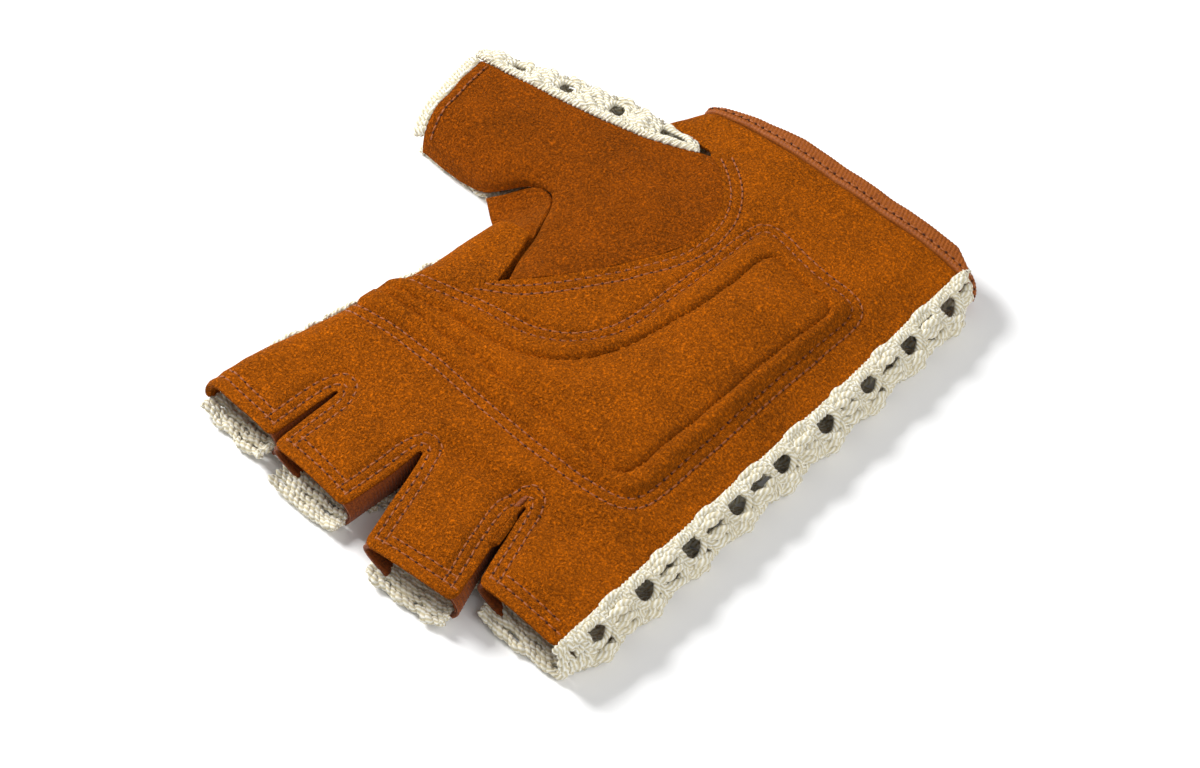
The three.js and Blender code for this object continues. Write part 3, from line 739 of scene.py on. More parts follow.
class NodeTree(Nodes):
    """A Geometry Nodes tree that grows a piece along lines."""

    def __init__(self, name: str, inputs: dict[str, tuple[str, object]]) -> None:
        """Makes the tree.

        Args:
            name: The tree's name.
            inputs: Kind and value of each input besides the geometry and the material.
        """
        super().__init__(bpy.data.node_groups.new(name, "GeometryNodeTree"))
        self.open({"Geometry": ("Geometry", None), **inputs, "Material": ("Material", None)},
                  {"Geometry": "Geometry"})
        self.curve = self.node("GeometryNodeMeshToCurve", {0: self.given["Geometry"]}).outputs[0]

    def kept(self, kind: str, geometry: Socket, value: Socket) -> tuple[Socket, Socket]:
        """Keeps a value of each point.

        Args:
            kind: The value's kind.
            geometry: What the points belong to.
            value: The value.

        Returns:
            The geometry and the kept value.
        """
        made = self.node("GeometryNodeCaptureAttribute", domain="POINT")
        made.capture_items.new(kind, "kept")
        self.feed(made.inputs[0], geometry)
        self.feed(made.inputs[1], value)
        return made.outputs[0], made.outputs[1]

    def finish(self, geometry: Socket) -> None:
        """Ends the tree in smooth faces, Realize Instances and Set Material.

        Args:
            geometry: What the tree has grown.
        """
        soft = self.node("GeometryNodeSetShadeSmooth", {0: geometry})
        real = self.node("GeometryNodeRealizeInstances", {0: soft.outputs[0]})
        coat = self.node("GeometryNodeSetMaterial", {"Geometry": real.outputs[0],
                                                     "Material": self.given["Material"]})
        self.feed(self.result[0], coat.outputs[0])

    def grow(self, name: str, lines: Lines, values: dict[str, object]) -> Object:
        """Runs the tree on lines in plan millimetres and keeps the result as a plain mesh.

        Args:
            name: Name of the piece.
            lines: Paths, each an array of points; a fourth column is kept as "size".
            values: Values of the tree's inputs by name.

        Returns:
            The finished piece.
        """
        edges, sizes, first = [], [], 0
        for line in lines:
            sizes += line[:, 3].tolist() if line.shape[1] > 3 else [1.0] * len(line)
            edges += [(k, k + 1) for k in range(first, first + len(line) - 1)]
            first += len(line)
        points = (np.vstack([line[:, :3] for line in lines]) + PLAN_SHIFT) * MM
        guide = bpy.data.meshes.new(name + "_lines")
        guide.from_pydata(points.tolist(), edges, [])
        guide.attributes.new("size", "FLOAT", "POINT").data.foreach_set("value", sizes)
        source = placed(name + "_lines", guide)
        modifier = source.modifiers.new("nodes", "NODES")
        modifier.node_group = self.tree
        for item in self.tree.interface.items_tree:
            if item.item_type == "SOCKET" and item.in_out == "INPUT" and item.name in values:
                modifier[item.identifier] = values[item.name]
        graph = bpy.context.evaluated_depsgraph_get()
        mesh = bpy.data.meshes.new_from_object(source.evaluated_get(graph), depsgraph=graph)
        source.modifiers.remove(modifier)
        bpy.data.objects.remove(source)
        LOG.info("%s: %d lines, %d faces", name, len(lines), len(mesh.polygons))
        return placed(name, mesh)


def yarn_tree() -> NodeTree:
    """Strands of yarn along the lines, with slubs, and each point's place on its strand.

    Returns:
        The tree.
    """
    made = NodeTree("yarn", {"Yarn Radius": ("Float", 0.0005), "Sides": ("Int", 6),
                             "Slub": ("Float", 0.16), "Slub Scale": ("Float", 420.0)})
    size = made.node("GeometryNodeInputNamedAttribute", {"Name": "size"}, data_type="FLOAT").outputs[0]
    noise = made.node("ShaderNodeTexNoise", {"Scale": made.given["Slub Scale"]}).outputs["Fac"]
    slub = made.maths("MULTIPLY", made.maths("SUBTRACT", noise, 0.5), made.given["Slub"])
    swollen = made.maths("MULTIPLY", size, made.maths("MULTIPLY_ADD", slub, 2.0, 1.0))
    radius = made.maths("MULTIPLY", swollen, made.given["Yarn Radius"])
    length = made.node("GeometryNodeSplineParameter").outputs["Length"]
    line, along = made.kept("FLOAT", made.curve, length)
    circle = made.node("GeometryNodeCurvePrimitiveCircle", {"Radius": 1.0, "Resolution": made.given["Sides"]})
    place = made.node("GeometryNodeInputPosition").outputs[0]
    ring, around = made.kept("VECTOR", circle.outputs["Curve"], place)
    tube = made.node("GeometryNodeCurveToMesh", {"Curve": line, "Profile Curve": ring, "Scale": radius,
                                                 "Fill Caps": True})
    parts = made.node("ShaderNodeSeparateXYZ", {0: around}).outputs
    strand = made.node("ShaderNodeCombineXYZ", {0: parts[0], 1: parts[1], 2: along}).outputs[0]
    store = made.node("GeometryNodeStoreNamedAttribute", {
        "Geometry": tube.outputs[0], "Name": "strand", "Value": strand},
        data_type="FLOAT_VECTOR", domain="POINT")
    made.finish(store.outputs[0])
    return made


def stitch_tree() -> NodeTree:
    """Equal stitches along the lines, each a small rounded grain.

    Returns:
        The tree.
    """
    made = NodeTree("stitches", {"Pitch": ("Float", 0.0022), "Stitch Size": ("Vector", None),
                                 "Wobble": ("Float", 0.12), "Seed": ("Int", 4)})
    even = made.node("GeometryNodeResampleCurve", {"Curve": made.curve, "Length": made.given["Pitch"]},
                     mode="LENGTH")
    grain = made.node("GeometryNodeMeshUVSphere", {"Radius": 1.0, "Segments": 8, "Rings": 5})
    tangent = made.node("GeometryNodeInputTangent").outputs[0]
    wobble = made.node("FunctionNodeRandomValue", {
        "Seed": made.given["Seed"], "Min": made.maths("MULTIPLY", made.given["Wobble"], -1.0),
        "Max": made.given["Wobble"]}, data_type="FLOAT_VECTOR").outputs[0]
    heading = made.node("ShaderNodeVectorMath", {0: tangent, 1: wobble}, operation="ADD").outputs[0]
    turn = made.node("FunctionNodeAlignRotationToVector", {"Vector": heading}, axis="Z")
    copies = made.node("GeometryNodeInstanceOnPoints", {
        "Points": even.outputs[0], "Instance": grain.outputs[0], "Rotation": turn.outputs[0],
        "Scale": made.given["Stitch Size"]})
    made.finish(copies.outputs[0])
    return made


# Suede and cloth

@dataclass(frozen=True)
class PadFilling:
    """Swells the pad between its stitched lines with a short cloth simulation."""

    scale: float = 5.0
    pressure: float = 1.6
    frames: int = 14
    most: float = 0.3
    quality: int = 5
    mass: float = 0.3
    stretch_stiffness: float = 15.0
    bending_stiffness: float = 2.0

    def swell(self, skin: Skin, stitched: Array) -> Skin:
        """The skin after the filling has pushed it out.

        Args:
            skin: The closed pad in plan millimetres.
            stitched: True for each point that the thread or the groove holds.

        Returns:
            The swollen skin, with no point moved further than allowed.
        """
        mesh = bpy.data.meshes.new("pad_form")
        mesh.from_pydata((skin.points * MM * self.scale).tolist(), [], skin.faces)
        form = placed("pad_form", mesh)
        held = form.vertex_groups.new(name="stitched")
        held.add(np.flatnonzero(stitched).tolist(), 1.0, "REPLACE")
        cloth = form.modifiers.new("cloth", "CLOTH")
        for name, value in (("quality", self.quality), ("mass", self.mass),
                            ("tension_stiffness", self.stretch_stiffness),
                            ("compression_stiffness", self.stretch_stiffness),
                            ("bending_stiffness", self.bending_stiffness), ("use_pressure", True),
                            ("uniform_pressure_force", self.pressure), ("vertex_group_mass", held.name)):
            setattr(cloth.settings, name, value)
        cloth.settings.effector_weights.gravity = 0.0
        cloth.point_cache.frame_end = self.frames
        for step in range(1, self.frames + 1):
            bpy.context.scene.frame_set(step)
        shape = form.evaluated_get(bpy.context.evaluated_depsgraph_get()).to_mesh()
        flat = np.zeros(len(skin.points) * 3)
        shape.vertices.foreach_get("co", flat)
        bpy.context.scene.frame_set(1)
        bpy.data.objects.remove(form)
        move = flat.reshape(-1, 3) / (MM * self.scale) - skin.points
        length = np.maximum(np.linalg.norm(move, axis=1), TINY)
        move *= (np.minimum(length, self.most) / length)[:, None]
        LOG.info("pad filling: %.2f mm at most, %.2f mm on average", length.max(), length.mean())
        return Skin(skin.points + np.where(np.isfinite(move), move, 0.0), skin.faces)


@dataclass
class PalmPanel:
    """The suede palm with its four tongues and the pad stitched into it."""

    grid: float = 0.66
    thickness: float = 1.4
    edge_round: float = 0.45
    seam_dip: float = 0.6
    seam_width: float = 0.75
    tip_radius: float = 2.2
    crotch_gap: float = 0.1
    line_step: float = 0.8
    pad_rows: tuple[float, ...] = (0.35, 2.6)
    pad_end_x: float = 50.0
    # distance to the left of the thumb's seam, x and y of the row's first point
    thumb_rows: Rows = ((-1.7, 29.6, 3.4), (-4.2, 30.4, 6.2))
    # inset from a tongue's sides, inset from its tip
    tongue_rows: Rows = ((1.8, 2.7), (4.0, 4.9))
    low_y: float = -14.2
    slit: Rows = ((0.6, 29.0), (-14.0, 33.4))
    # distance, height
    field_rise: Rows = ((0, 0.1), (0.4, 0.9), (1.5, 1.4), (4.0, 2.0), (9.0, 2.8), (14.0, 3.1))
    rim_rise: Rows = ((0, 0.0), (2.9, 0.1), (4.0, 1.0), (5.4, 1.55))
    groove_bank: Rows = ((0, 0.1), (0.4, 0.95), (1.1, 1.4), (2.4, 1.55))
    # x, y
    groove_corners: Rows = (
        (46.0, 19.6), (35.3, 19.9), (27.4, 20.4), (16.9, 20.7), (7.7, 21.3), (-3.3, 22.3), (-13.6, 22.8),
        (-21.4, 23.8), (-26.3, 23.0), (-28.3, 19.0), (-28.7, 11.9), (-29.4, -2.1), (-29.9, -23.9),
        (-30.8, -34.8), (-29.9, -40.0), (-21.8, -41.9), (-15.2, -43.1), (-11.5, -43.2), (-10.2, -39.5),
        (-10.0, -30.8), (-9.2, -20.1), (-6.1, -5.9), (-3.8, 1.0), (-0.1, 6.4), (4.6, 10.6), (10.1, 13.5),
        (15.5, 14.5), (21.3, 15.2), (27.9, 15.4), (34.2, 16.4), (46.0, 18.2),
    )
    pad_corners: Rows = (
        (50.5, 27.3), (34.4, 27.6), (19.9, 28.3), (3.8, 29.9), (-12.6, 30.9), (-24.5, 30.8),
        (-31.6, 29.6), (-35.4, 25.4), (-36.5, 18.0), (-36.7, -6.0), (-36.9, -30.0), (-36.8, -41.5),
        (-34.6, -46.4), (-29.5, -48.3), (-20.0, -49.2), (-10.0, -51.6), (-4.6, -51.8),
        (-1.8, -49.6), (-1.2, -44.0), (-0.8, -30.0), (0.3, -12.0), (2.2, -4.1), (5.6, 0.5),
        (8.9, 3.1), (13.9, 5.3), (18.5, 6.3), (29.0, 7.8), (39.0, 10.2), (50.5, 13.0),
    )

    def __post_init__(self) -> None:
        """Works out the outlines, the seams and the net of points."""
        self.outline = spaced(self._outline(), 0.7, closed=True)
        self.pad_outline = curve_through(self.pad_corners, self.line_step, closed=True)
        self.groove = curve_through(self.groove_corners, self.line_step, closed=True)
        self.seams = self._seams()
        self._fill()

    def _outline(self) -> Array:
        """The palm's cut edge in unrolled plan, once round from the little finger's cuff corner.

        Returns:
            The outline.
        """
        corners = [(x, float(cuff_y(x)), 0.0) for x in np.linspace(-43.2, 27.0, 15)]
        wrist_y = float(cuff_y(27.0))
        corners += [(FORM.side_reach(y), y, 0.0) for y in (wrist_y, -64.2)]
        thumb = curve_through(THUMB_SEAM, 1.5)[::-1]
        corners += [(x, y, 0.0) for x, y in [(21.6, -61.6), *thumb, (28.5, 1.4)]]
        corners += [(self.slit[0][1], self.slit[0][0], 0.0), (self.slit[1][1], self.low_y, 0.5)]
        corners += [(FORM.side_reach(y), y, 0.0) for y in np.linspace(self.low_y, 58.0, 24)]
        index = TONGUES[INDEX]
        corners += [(FORM.side_reach(index.tip_to_y), index.tip_to_y, 1.0),
                    (index.tip_from, index.tip_from_y, self.tip_radius)]
        for right, left in zip(TONGUES[:0:-1], TONGUES[-2::-1]):
            crotch = min(right.root_y, left.root_y)
            corners += [(right.root_from - self.crotch_gap, crotch, 0.6),
                        (left.root_to + self.crotch_gap, crotch, 0.6),
                        (left.tip_to, left.tip_to_y, self.tip_radius),
                        (left.tip_from, left.tip_from_y, self.tip_radius)]
        corners += [(float(look_up(FORM.little_edge, y)), y, 0.0) for y in np.linspace(56, -70, 30)]
        return rounded(corners)

    def _seams(self) -> Lines:
        """Every stitched row on the palm: round the pad, beside the thumb and round the tongues.

        Returns:
            The rows in unrolled plan.
        """
        seams = [self._pad_row(inset) for inset in self.pad_rows]
        thumb = curve_through(THUMB_SEAM, self.line_step)
        for offset, x, y in self.thumb_rows:
            row = beside(thumb, offset)
            seams.append(curve_through(np.vstack([[(x, y)], row[3:-2:8]]), self.line_step))
        for right, left in zip(TONGUES[:0:-1], TONGUES[-2::-1]):
            seams += [self._crotch_row(right, left, inset) for inset, _ in self.tongue_rows]
        for tongue in TONGUES:
            for side, tip in self.tongue_rows:
                ends = np.array([[tongue.tip_from + side, tongue.tip_from_y - tip],
                                 [tongue.tip_to - side, tongue.tip_to_y - tip]])
                seams.append(spaced(ends, self.line_step))
        return seams

    def _pad_row(self, inset: float) -> Array:
        """A stitched row round the pad, which runs out over the index side.

        Args:
            inset: How far the row lies inside the pad's edge.

        Returns:
            The row.
        """
        row = beside(self.pad_outline, inset, closed=True)
        row = np.roll(row, -int(np.argmax(row.sum(axis=1))), axis=0)
        return row[row[:, 0] < self.pad_end_x]

    def _crotch_row(self, right: Tongue, left: Tongue, inset: float) -> Array:
        """A row down one tongue's edge, round the crotch and up the next.

        Args:
            right: The tongue nearer to the thumb.
            left: The tongue nearer to the little finger.
            inset: How far the row lies from the edges.

        Returns:
            The row.
        """
        crotch = min(right.root_y, left.root_y)
        middle, low, half = (right.root_from + left.root_to) / 2, crotch - inset - 0.4, inset * 0.62
        tip = self.tongue_rows[0][1]
        points = [(float(right.left(y)) + inset, y) for y in (right.tip_from_y - tip, crotch + 9)]
        points += [(right.root_from + inset, crotch + 1.5), (middle + half, low + 0.9), (middle, low),
                   (middle - half, low + 0.9), (left.root_to - inset, crotch + 1.5)]
        points += [(float(left.right(y)) - inset, y) for y in (crotch + 9, left.tip_to_y - tip)]
        return curve_through(points, self.line_step)

    def _fill(self) -> None:
        """Fills the outline with points and joins them to triangles, split at the pad."""
        low, high = self.outline.min(0), self.outline.max(0)
        net = []
        for k, y in enumerate(np.arange(low[1], high[1], self.grid * math.sqrt(3) / 2)):
            xs = np.arange(low[0] + (k % 2) * self.grid / 2, high[0], self.grid)
            net.append(np.stack([xs, np.full(len(xs), y)], axis=1))
        net = np.vstack(net)
        net = net[within(self.outline, net)]
        net = net[(distance_to(self.outline, net, closed=True) > 0.75)
                  & (distance_to(self.pad_outline, net, closed=True) > 0.4)]
        ring = self.outline + left_of(self.outline, closed=True) * 0.4
        ring = ring[within(self.outline, ring)]
        ring = ring[distance_to(self.outline, ring, closed=True) > 0.34]
        edges, first = [], 0
        for count in (len(self.outline), len(self.pad_outline)):
            edges += [(first + k, first + (k + 1) % count) for k in range(count)]
            first += count
        points = np.vstack([self.outline, self.pad_outline, ring, net])
        made = delaunay_2d_cdt([Vector(point) for point in points], edges, [], 0, 1e-5, True)
        self.plan = np.array([tuple(point) for point in made[0]])
        faces = np.array([face for face in made[2] if len(face) == 3])
        area = self._areas(faces)
        faces = np.where((area < 0)[:, None], faces[:, ::-1], faces)
        centres = self.plan[faces].mean(axis=1)
        keep = within(self.outline, centres) & (np.abs(area) > 1e-4)
        in_pad = within(self.pad_outline, centres)
        self.palm_faces = faces[keep & ~in_pad]
        self.pad_faces = faces[keep & in_pad]

    def _areas(self, faces: Array) -> Array:
        """Twice each plan triangle's area, below 0 where it turns clockwise."""
        first, second = (self.plan[faces[:, k]] - self.plan[faces[:, 0]] for k in (1, 2))
        return first[:, 0] * second[:, 1] - first[:, 1] * second[:, 0]

    def relief(self, plan: Array) -> Array:
        """Height of the stitching, the edges, the pad and soft dents over the plain form.

        Args:
            plan: Points in unrolled plan.

        Returns:
            One height for each point.
        """
        x, y = plan.T
        border = distance_to(self.outline, plan, closed=True)
        at_thumb = distance_to(curve_through(THUMB_SEAM, 1.0), plan) < 0.9
        height = -np.where(at_thumb, 0.12, self.edge_round) * bell(border / 0.5)
        seam_gap = np.min([distance_to(seam, plan) for seam in self.seams], axis=0)
        height -= self.seam_dip * bell(seam_gap / self.seam_width)
        height += 0.16 * soft_noise(x, y, 17.0, 5) + 0.10 * soft_noise(x, y, 7.5, 6) * smooth(border / 4)
        folds = 1.7 * smooth((x + 19) / 5) * smooth((11 - x) / 9)
        folds += 1.1 * smooth((-17 - x) / 4) * smooth((x + 44) / 10)
        height -= folds * bell((y - 40.4) / 2.7)
        inset = distance_to(self.pad_outline, plan, closed=True) * within(self.pad_outline, plan)
        gap = distance_to(self.groove, plan, closed=True)
        rim = np.minimum(look_up(self.rim_rise, inset), look_up(self.groove_bank, gap))
        height += np.where(within(self.groove, plan), look_up(self.field_rise, gap), rim)
        return height - self._tongue_arch(x, y)

    @staticmethod
    def _tongue_arch(x: Array, y: Array) -> Array:
        """How far the tongues' sides drop below their middles.

        Args:
            x: Unrolled distances across the hand.
            y: Plan y.

        Returns:
            One drop for each point.
        """
        drop = np.zeros(len(x))
        for order, tongue in enumerate(TONGUES):
            across = (x - tongue.left(y)) / (tongue.right(y) - tongue.left(y))
            side = np.abs(2 * across - 1)
            if order == LITTLE:
                side = np.where(across < 0.5, 0.0, side)
            if order == INDEX:
                side = np.where(across > 0.5, 0.0, side)
            on = (across > -0.03) & (across < 1.03)
            drop = np.where(on, FORM.finger_arch * np.clip(side, 0, 1)**3 * smooth((y - 38) / 12), drop)
        return drop

    def surface(self, plan: Array, lift: float = 0.0) -> Array:
        """Points on the finished face over unrolled plan points."""
        return FORM.place(plan[:, 0], plan[:, 1], self.relief(plan) + lift)

    def build(self, finishes: Finishes) -> None:
        """Makes the palm and the pad as two closed pieces that share the stitched border.

        Args:
            finishes: The materials.
        """
        points = self.surface(self.plan)
        pad = self._pad(points).piece("palm_pad_cushion", finishes.suede, "suede", "palm_pad")
        used, renamed = np.unique(self.palm_faces, return_inverse=True)
        skin = Skin(points[used], renamed.reshape(-1, 3).tolist()).thickened(self.thickness)
        palm = skin.piece("palm_suede", finishes.suede, "suede", "palm_panel")

    def _pad(self, points: Array) -> Skin:
        """The pad: the stitched face over the plain underside of the palm.

        Args:
            points: The face's points.

        Returns:
            The closed pad, swollen by its filling.
        """
        used, renamed = np.unique(self.pad_faces, return_inverse=True)
        plan, count = self.plan[used], len(used)
        behind = FORM.place(plan[:, 0], plan[:, 1], -self.thickness)
        faces = renamed.reshape(-1, 3).tolist()
        closed = faces + [[k + count for k in reversed(face)] for face in faces]
        closed += [[b, a, a + count, b + count] for a, b in open_edges(faces)]
        skin = Skin(np.vstack([points[used], behind]), closed)
        loose = ((distance_to(self.pad_outline, plan, closed=True) > 3.4)
                 & (distance_to(self.groove, plan, closed=True) > 1.3) & (plan[:, 0] < 42.0))
        return PadFilling().swell(skin, np.concatenate([~loose, np.ones(count, bool)]))


@dataclass
class ThumbFront:
    """The suede of the thumb, from the palm seam to the thumb's open tip."""

    thickness: float = 1.4
    columns: int = 96
    rows: int = 88
    edge_share: float = 0.34
    stitch_back: float = 0.38
    stations: Rows = (
        # near x, y, z; far x, y, z; crown; bow
        (30.7, -8.3, 11.8, 24.4, -58.4, 10.9, 13.2, 12.0),
        (33.4, -17.8, 11.4, 29.6, -56.2, 11.0, 13.3, 8.0),
        (38.6, -27.0, 11.2, 36.6, -53.9, 11.2, 13.2, 4.0),
        (44.0, -27.2, 10.2, 44.0, -52.4, 11.3, 13.0, 1.0),
        (49.8, -24.0, 7.4, 51.0, -51.2, 11.4, 12.9, 0.0),
        (55.4, -22.2, 4.2, 58.0, -50.2, 11.5, 12.8, 0.0),
        (62.0, -22.2, 2.6, 65.6, -49.3, 11.6, 12.8, 0.0),
        (69.0, -22.5, 2.6, 73.0, -48.4, 11.6, 12.6, 0.0),
        (75.8, -23.2, 2.6, 80.3, -47.6, 11.6, 12.4, 0.4),
    )

    def face(self, across: Array, along: Array) -> Array:
        """Points on the thumb's face.

        Args:
            across: 0 at the edge beside the index finger, 1 at the far edge.
            along: 0 at the palm seam to the number of stations at the tip.

        Returns:
            One point for each pair.
        """
        knots = [self._seam_row(across)] + [self._station_row(k, across) for k in range(len(self.stations))]
        knots = run_on(np.array(knots))
        low = np.clip(along.astype(int), 0, len(self.stations) - 1)
        near = (knots[low + k, np.arange(len(across))] for k in range(4))
        return between(*near, (along - low)[:, None])

    def _seam_row(self, across: Array) -> Array:
        """The seam to the palm, on the palm's form.

        Args:
            across: 0 at the edge beside the index finger, 1 at the far edge.

        Returns:
            The seam's points.
        """
        seam = curve_through(THUMB_SEAM, 0.5)
        share = (0.02 + 0.965 * across) * (len(seam) - 1)
        x, y = (np.interp(share, np.arange(len(seam)), column) for column in seam.T)
        return np.stack([x + 0.1, y, FORM.crown(x + 0.1, y)], axis=1)

    def _station_row(self, order: int, across: Array) -> Array:
        """One station's section.

        Args:
            order: The station's number.
            across: 0 at its near edge to 1 at its far one.

        Returns:
            The section's points.
        """
        near_x, near_y, near_z, far_x, far_y, far_z, crown, bow = self.stations[order]
        x = near_x + (far_x - near_x) * across - bow * 4 * across * (1 - across)
        y = near_y + (far_y - near_y) * across
        near_rise = np.sqrt(1 - (1 - np.minimum(1, across / self.edge_share))**2)
        far_rise = smooth((1 - across) / self.edge_share)
        form = FORM.crown(x, y)
        high = np.maximum(crown, form + (crown - form) * min(1.0, (order + 1) / 4))
        z = high - (high - near_z) * (1 - near_rise) - (high - far_z) * (1 - far_rise)
        return np.stack([x, y, z], axis=1)

    def surface(self, across: Array, along: Array) -> Array:
        """Points on the face with its rims and the soft folds that run from the web.

        Args:
            across: As for face.
            along: As for face.

        Returns:
            The points.
        """
        points = self.face(across, along)
        x, y, z = points.T
        z += 0.2 * soft_noise(x, y, 15.0, 11) + 0.1 * soft_noise(x, y, 7.0, 12)
        z -= 0.14 * bell(along / 0.12)
        z -= 0.35 * bell(np.minimum(across, 1 - across) * 30 / 0.5)
        z -= 0.35 * bell((len(self.stations) - along) / 0.07)
        z -= 0.7 * bell((y + 0.45 * x + 9) / 3.2) * smooth((x - 18) / 10) * smooth((52 - x) / 14)
        z -= 0.33 * bell((y + 41 + 0.1 * (x - 40)) / 5) * smooth((x - 34) / 12)
        return points

    def build(self, finishes: Finishes) -> Lines:
        """Makes the piece.

        Args:
            finishes: The materials.

        Returns:
            The stitch row at the tip.
        """
        across, along = np.meshgrid(np.linspace(0, 1, self.columns)**1.15,
                                    np.linspace(0, len(self.stations), self.rows))
        skin = Skin(self.surface(across.ravel(), along.ravel()), grid_faces(self.rows, self.columns))
        skin = skin.thickened(self.thickness)
        # The thumb takes the darker copy of the suede, whose colour is painted shade.
        piece = skin.piece("thumb_suede", finishes.suede_painted_shade, "suede", "thumb_front")
        steps = np.linspace(0.05, 0.93, 40)
        return [self.surface(steps, np.full(len(steps), len(self.stations) - self.stitch_back))]


@dataclass
class ThumbGusset:
    """The concave web of suede between the thumb and the index side."""

    thickness: float = 1.2
    columns: int = 36
    rows: int = 56
    stations: Rows = (
        # thumb x, y, z; palm x, y, z; dip
        (27.4, -0.6, 11.0, 30.2, 0.4, 11.0, 0.0),
        (29.6, -7.2, 10.9, 32.4, -6.6, 10.9, 0.1),
        (32.4, -13.6, 10.9, 34.0, -13.0, 11.0, 0.1),
        (34.1, -17.0, 11.0, 34.0, -14.4, 11.2, 0.3),
        (38.4, -25.6, 10.6, 37.2, -14.6, 10.6, 1.2),
        (44.0, -26.4, 9.2, 40.6, -14.7, 8.8, 2.8),
        (49.4, -23.2, 6.2, 43.4, -14.8, 6.2, 2.0),
        (53.8, -21.2, 3.4, 45.2, -15.0, 3.6, 0.2),
    )

    def build(self, finishes: Finishes) -> None:
        """Makes the web from smoothed stations.

        Args:
            finishes: The materials.
        """
        table = curve_through(self.stations, 0.35)
        table = table[np.linspace(0, len(table) - 1, self.rows).round().astype(int)]
        share = np.linspace(-0.02, 1.02, self.columns)[None, :, None]
        thumb, palm, dip = table[:, None, 0:3], table[:, None, 3:6], table[:, None, 6:]
        points = palm + (thumb - palm) * share
        points[..., 2] -= (dip * 4 * share * (1 - share))[..., 0]
        points = points.reshape(-1, 3)
        points[:, 2] += 0.15 * soft_noise(points[:, 0], points[:, 1], 6.0, 21)
        skin = Skin(points, grid_faces(self.rows, self.columns)).upright()
        # The web takes the darker copy of the suede, whose colour is painted shade.
        skin.thickened(self.thickness).piece("web_suede", finishes.suede_painted_shade, "suede", "thumb_gusset")


@dataclass
class Fourchette:
    """A ribbed strip down one finger, round the crotch and up the next."""

    lower: int
    rib_pitch: float = 0.9
    rib_depth: float = 0.13
    thickness: float = 0.9
    low_z: float = 1.6
    inset: float = 1.0
    sink: float = 2.4
    levels: int = 22
    width: float = 11.0

    def _climb(self, edge: Callable[[float], Array], root_y: float, tip_y: float, side: float) -> list:
        """Knots up one tongue's edge.

        Args:
            edge: Gives the edge's x at a y.
            root_y: Where the tongue starts.
            tip_y: Where it ends.
            side: 1 for an edge towards the thumb, -1 for one towards the little finger.

        Returns:
            Rows of x, y, side and nearness to the tip.
        """
        rows = [(root_y + (tip_y - 1.0 - root_y) * share, share) for share in (0.16, 0.44, 0.72, 1.0)]
        return [(float(edge(y)) - side * self.inset, y, side, share) for y, share in rows]

    def _path(self) -> Array:
        """Plan line of the strip's top, with the side that it bulges to and its nearness to a tip.

        Returns:
            The line.
        """
        first, second = TONGUES[self.lower], TONGUES[self.lower + 1]
        root = min(first.root_y, second.root_y)
        middle = (first.root_to + second.root_from) / 2
        knots = self._climb(first.right, first.root_y, first.tip_to_y, 1.0)[::-1]
        knots += [(middle - self.inset, root - self.sink * 0.4, 0.7, 0.0),
                  (middle, root - self.sink, 0.0, 0.0),
                  (middle + self.inset, root - self.sink * 0.4, -0.7, 0.0)]
        knots += self._climb(second.left, second.root_y, second.tip_from_y, -1.0)
        return curve_through(knots, 0.15)

    def build(self, finishes: Finishes) -> None:
        """Makes the strip with its bulge, its curl at the mouths and its ribs.

        Args:
            finishes: The materials.
        """
        x, y, side, near_tip = path = self._path().T
        run = run_of(path[:2].T)
        room = (0.5 + 1.9 * near_tip) * np.where(side > 0, 1.0, 0.8)
        top = FORM.crown(x, y) - 1.4 - FORM.finger_arch * smooth((y - 38) / 12)
        rib = self.rib_depth * np.cos(TURN * run / self.rib_pitch) * side
        level = np.linspace(0.0, 1.0, self.levels)[:, None]
        out = side * np.sin(math.pi * level**0.85) * room
        curl = -np.clip(side, 0, 1) * 4.2 * smooth((near_tip - 0.55) / 0.45) * level**2.2
        points = np.stack([x + out + curl + rib, y + 0 * level, top + (self.low_z - top) * level], axis=-1)
        skin = Skin(points.reshape(-1, 3), grid_faces(self.levels, len(x)))
        skin = skin.thickened(self.thickness, bulge=0.2)
        names = ("little", "ring", "middle", "index")
        pair = f"_{names[self.lower]}_{names[self.lower + 1]}"
        piece = skin.piece("fourchette" + pair, finishes.ribbed, "stretch_cloth", "fork" + pair)


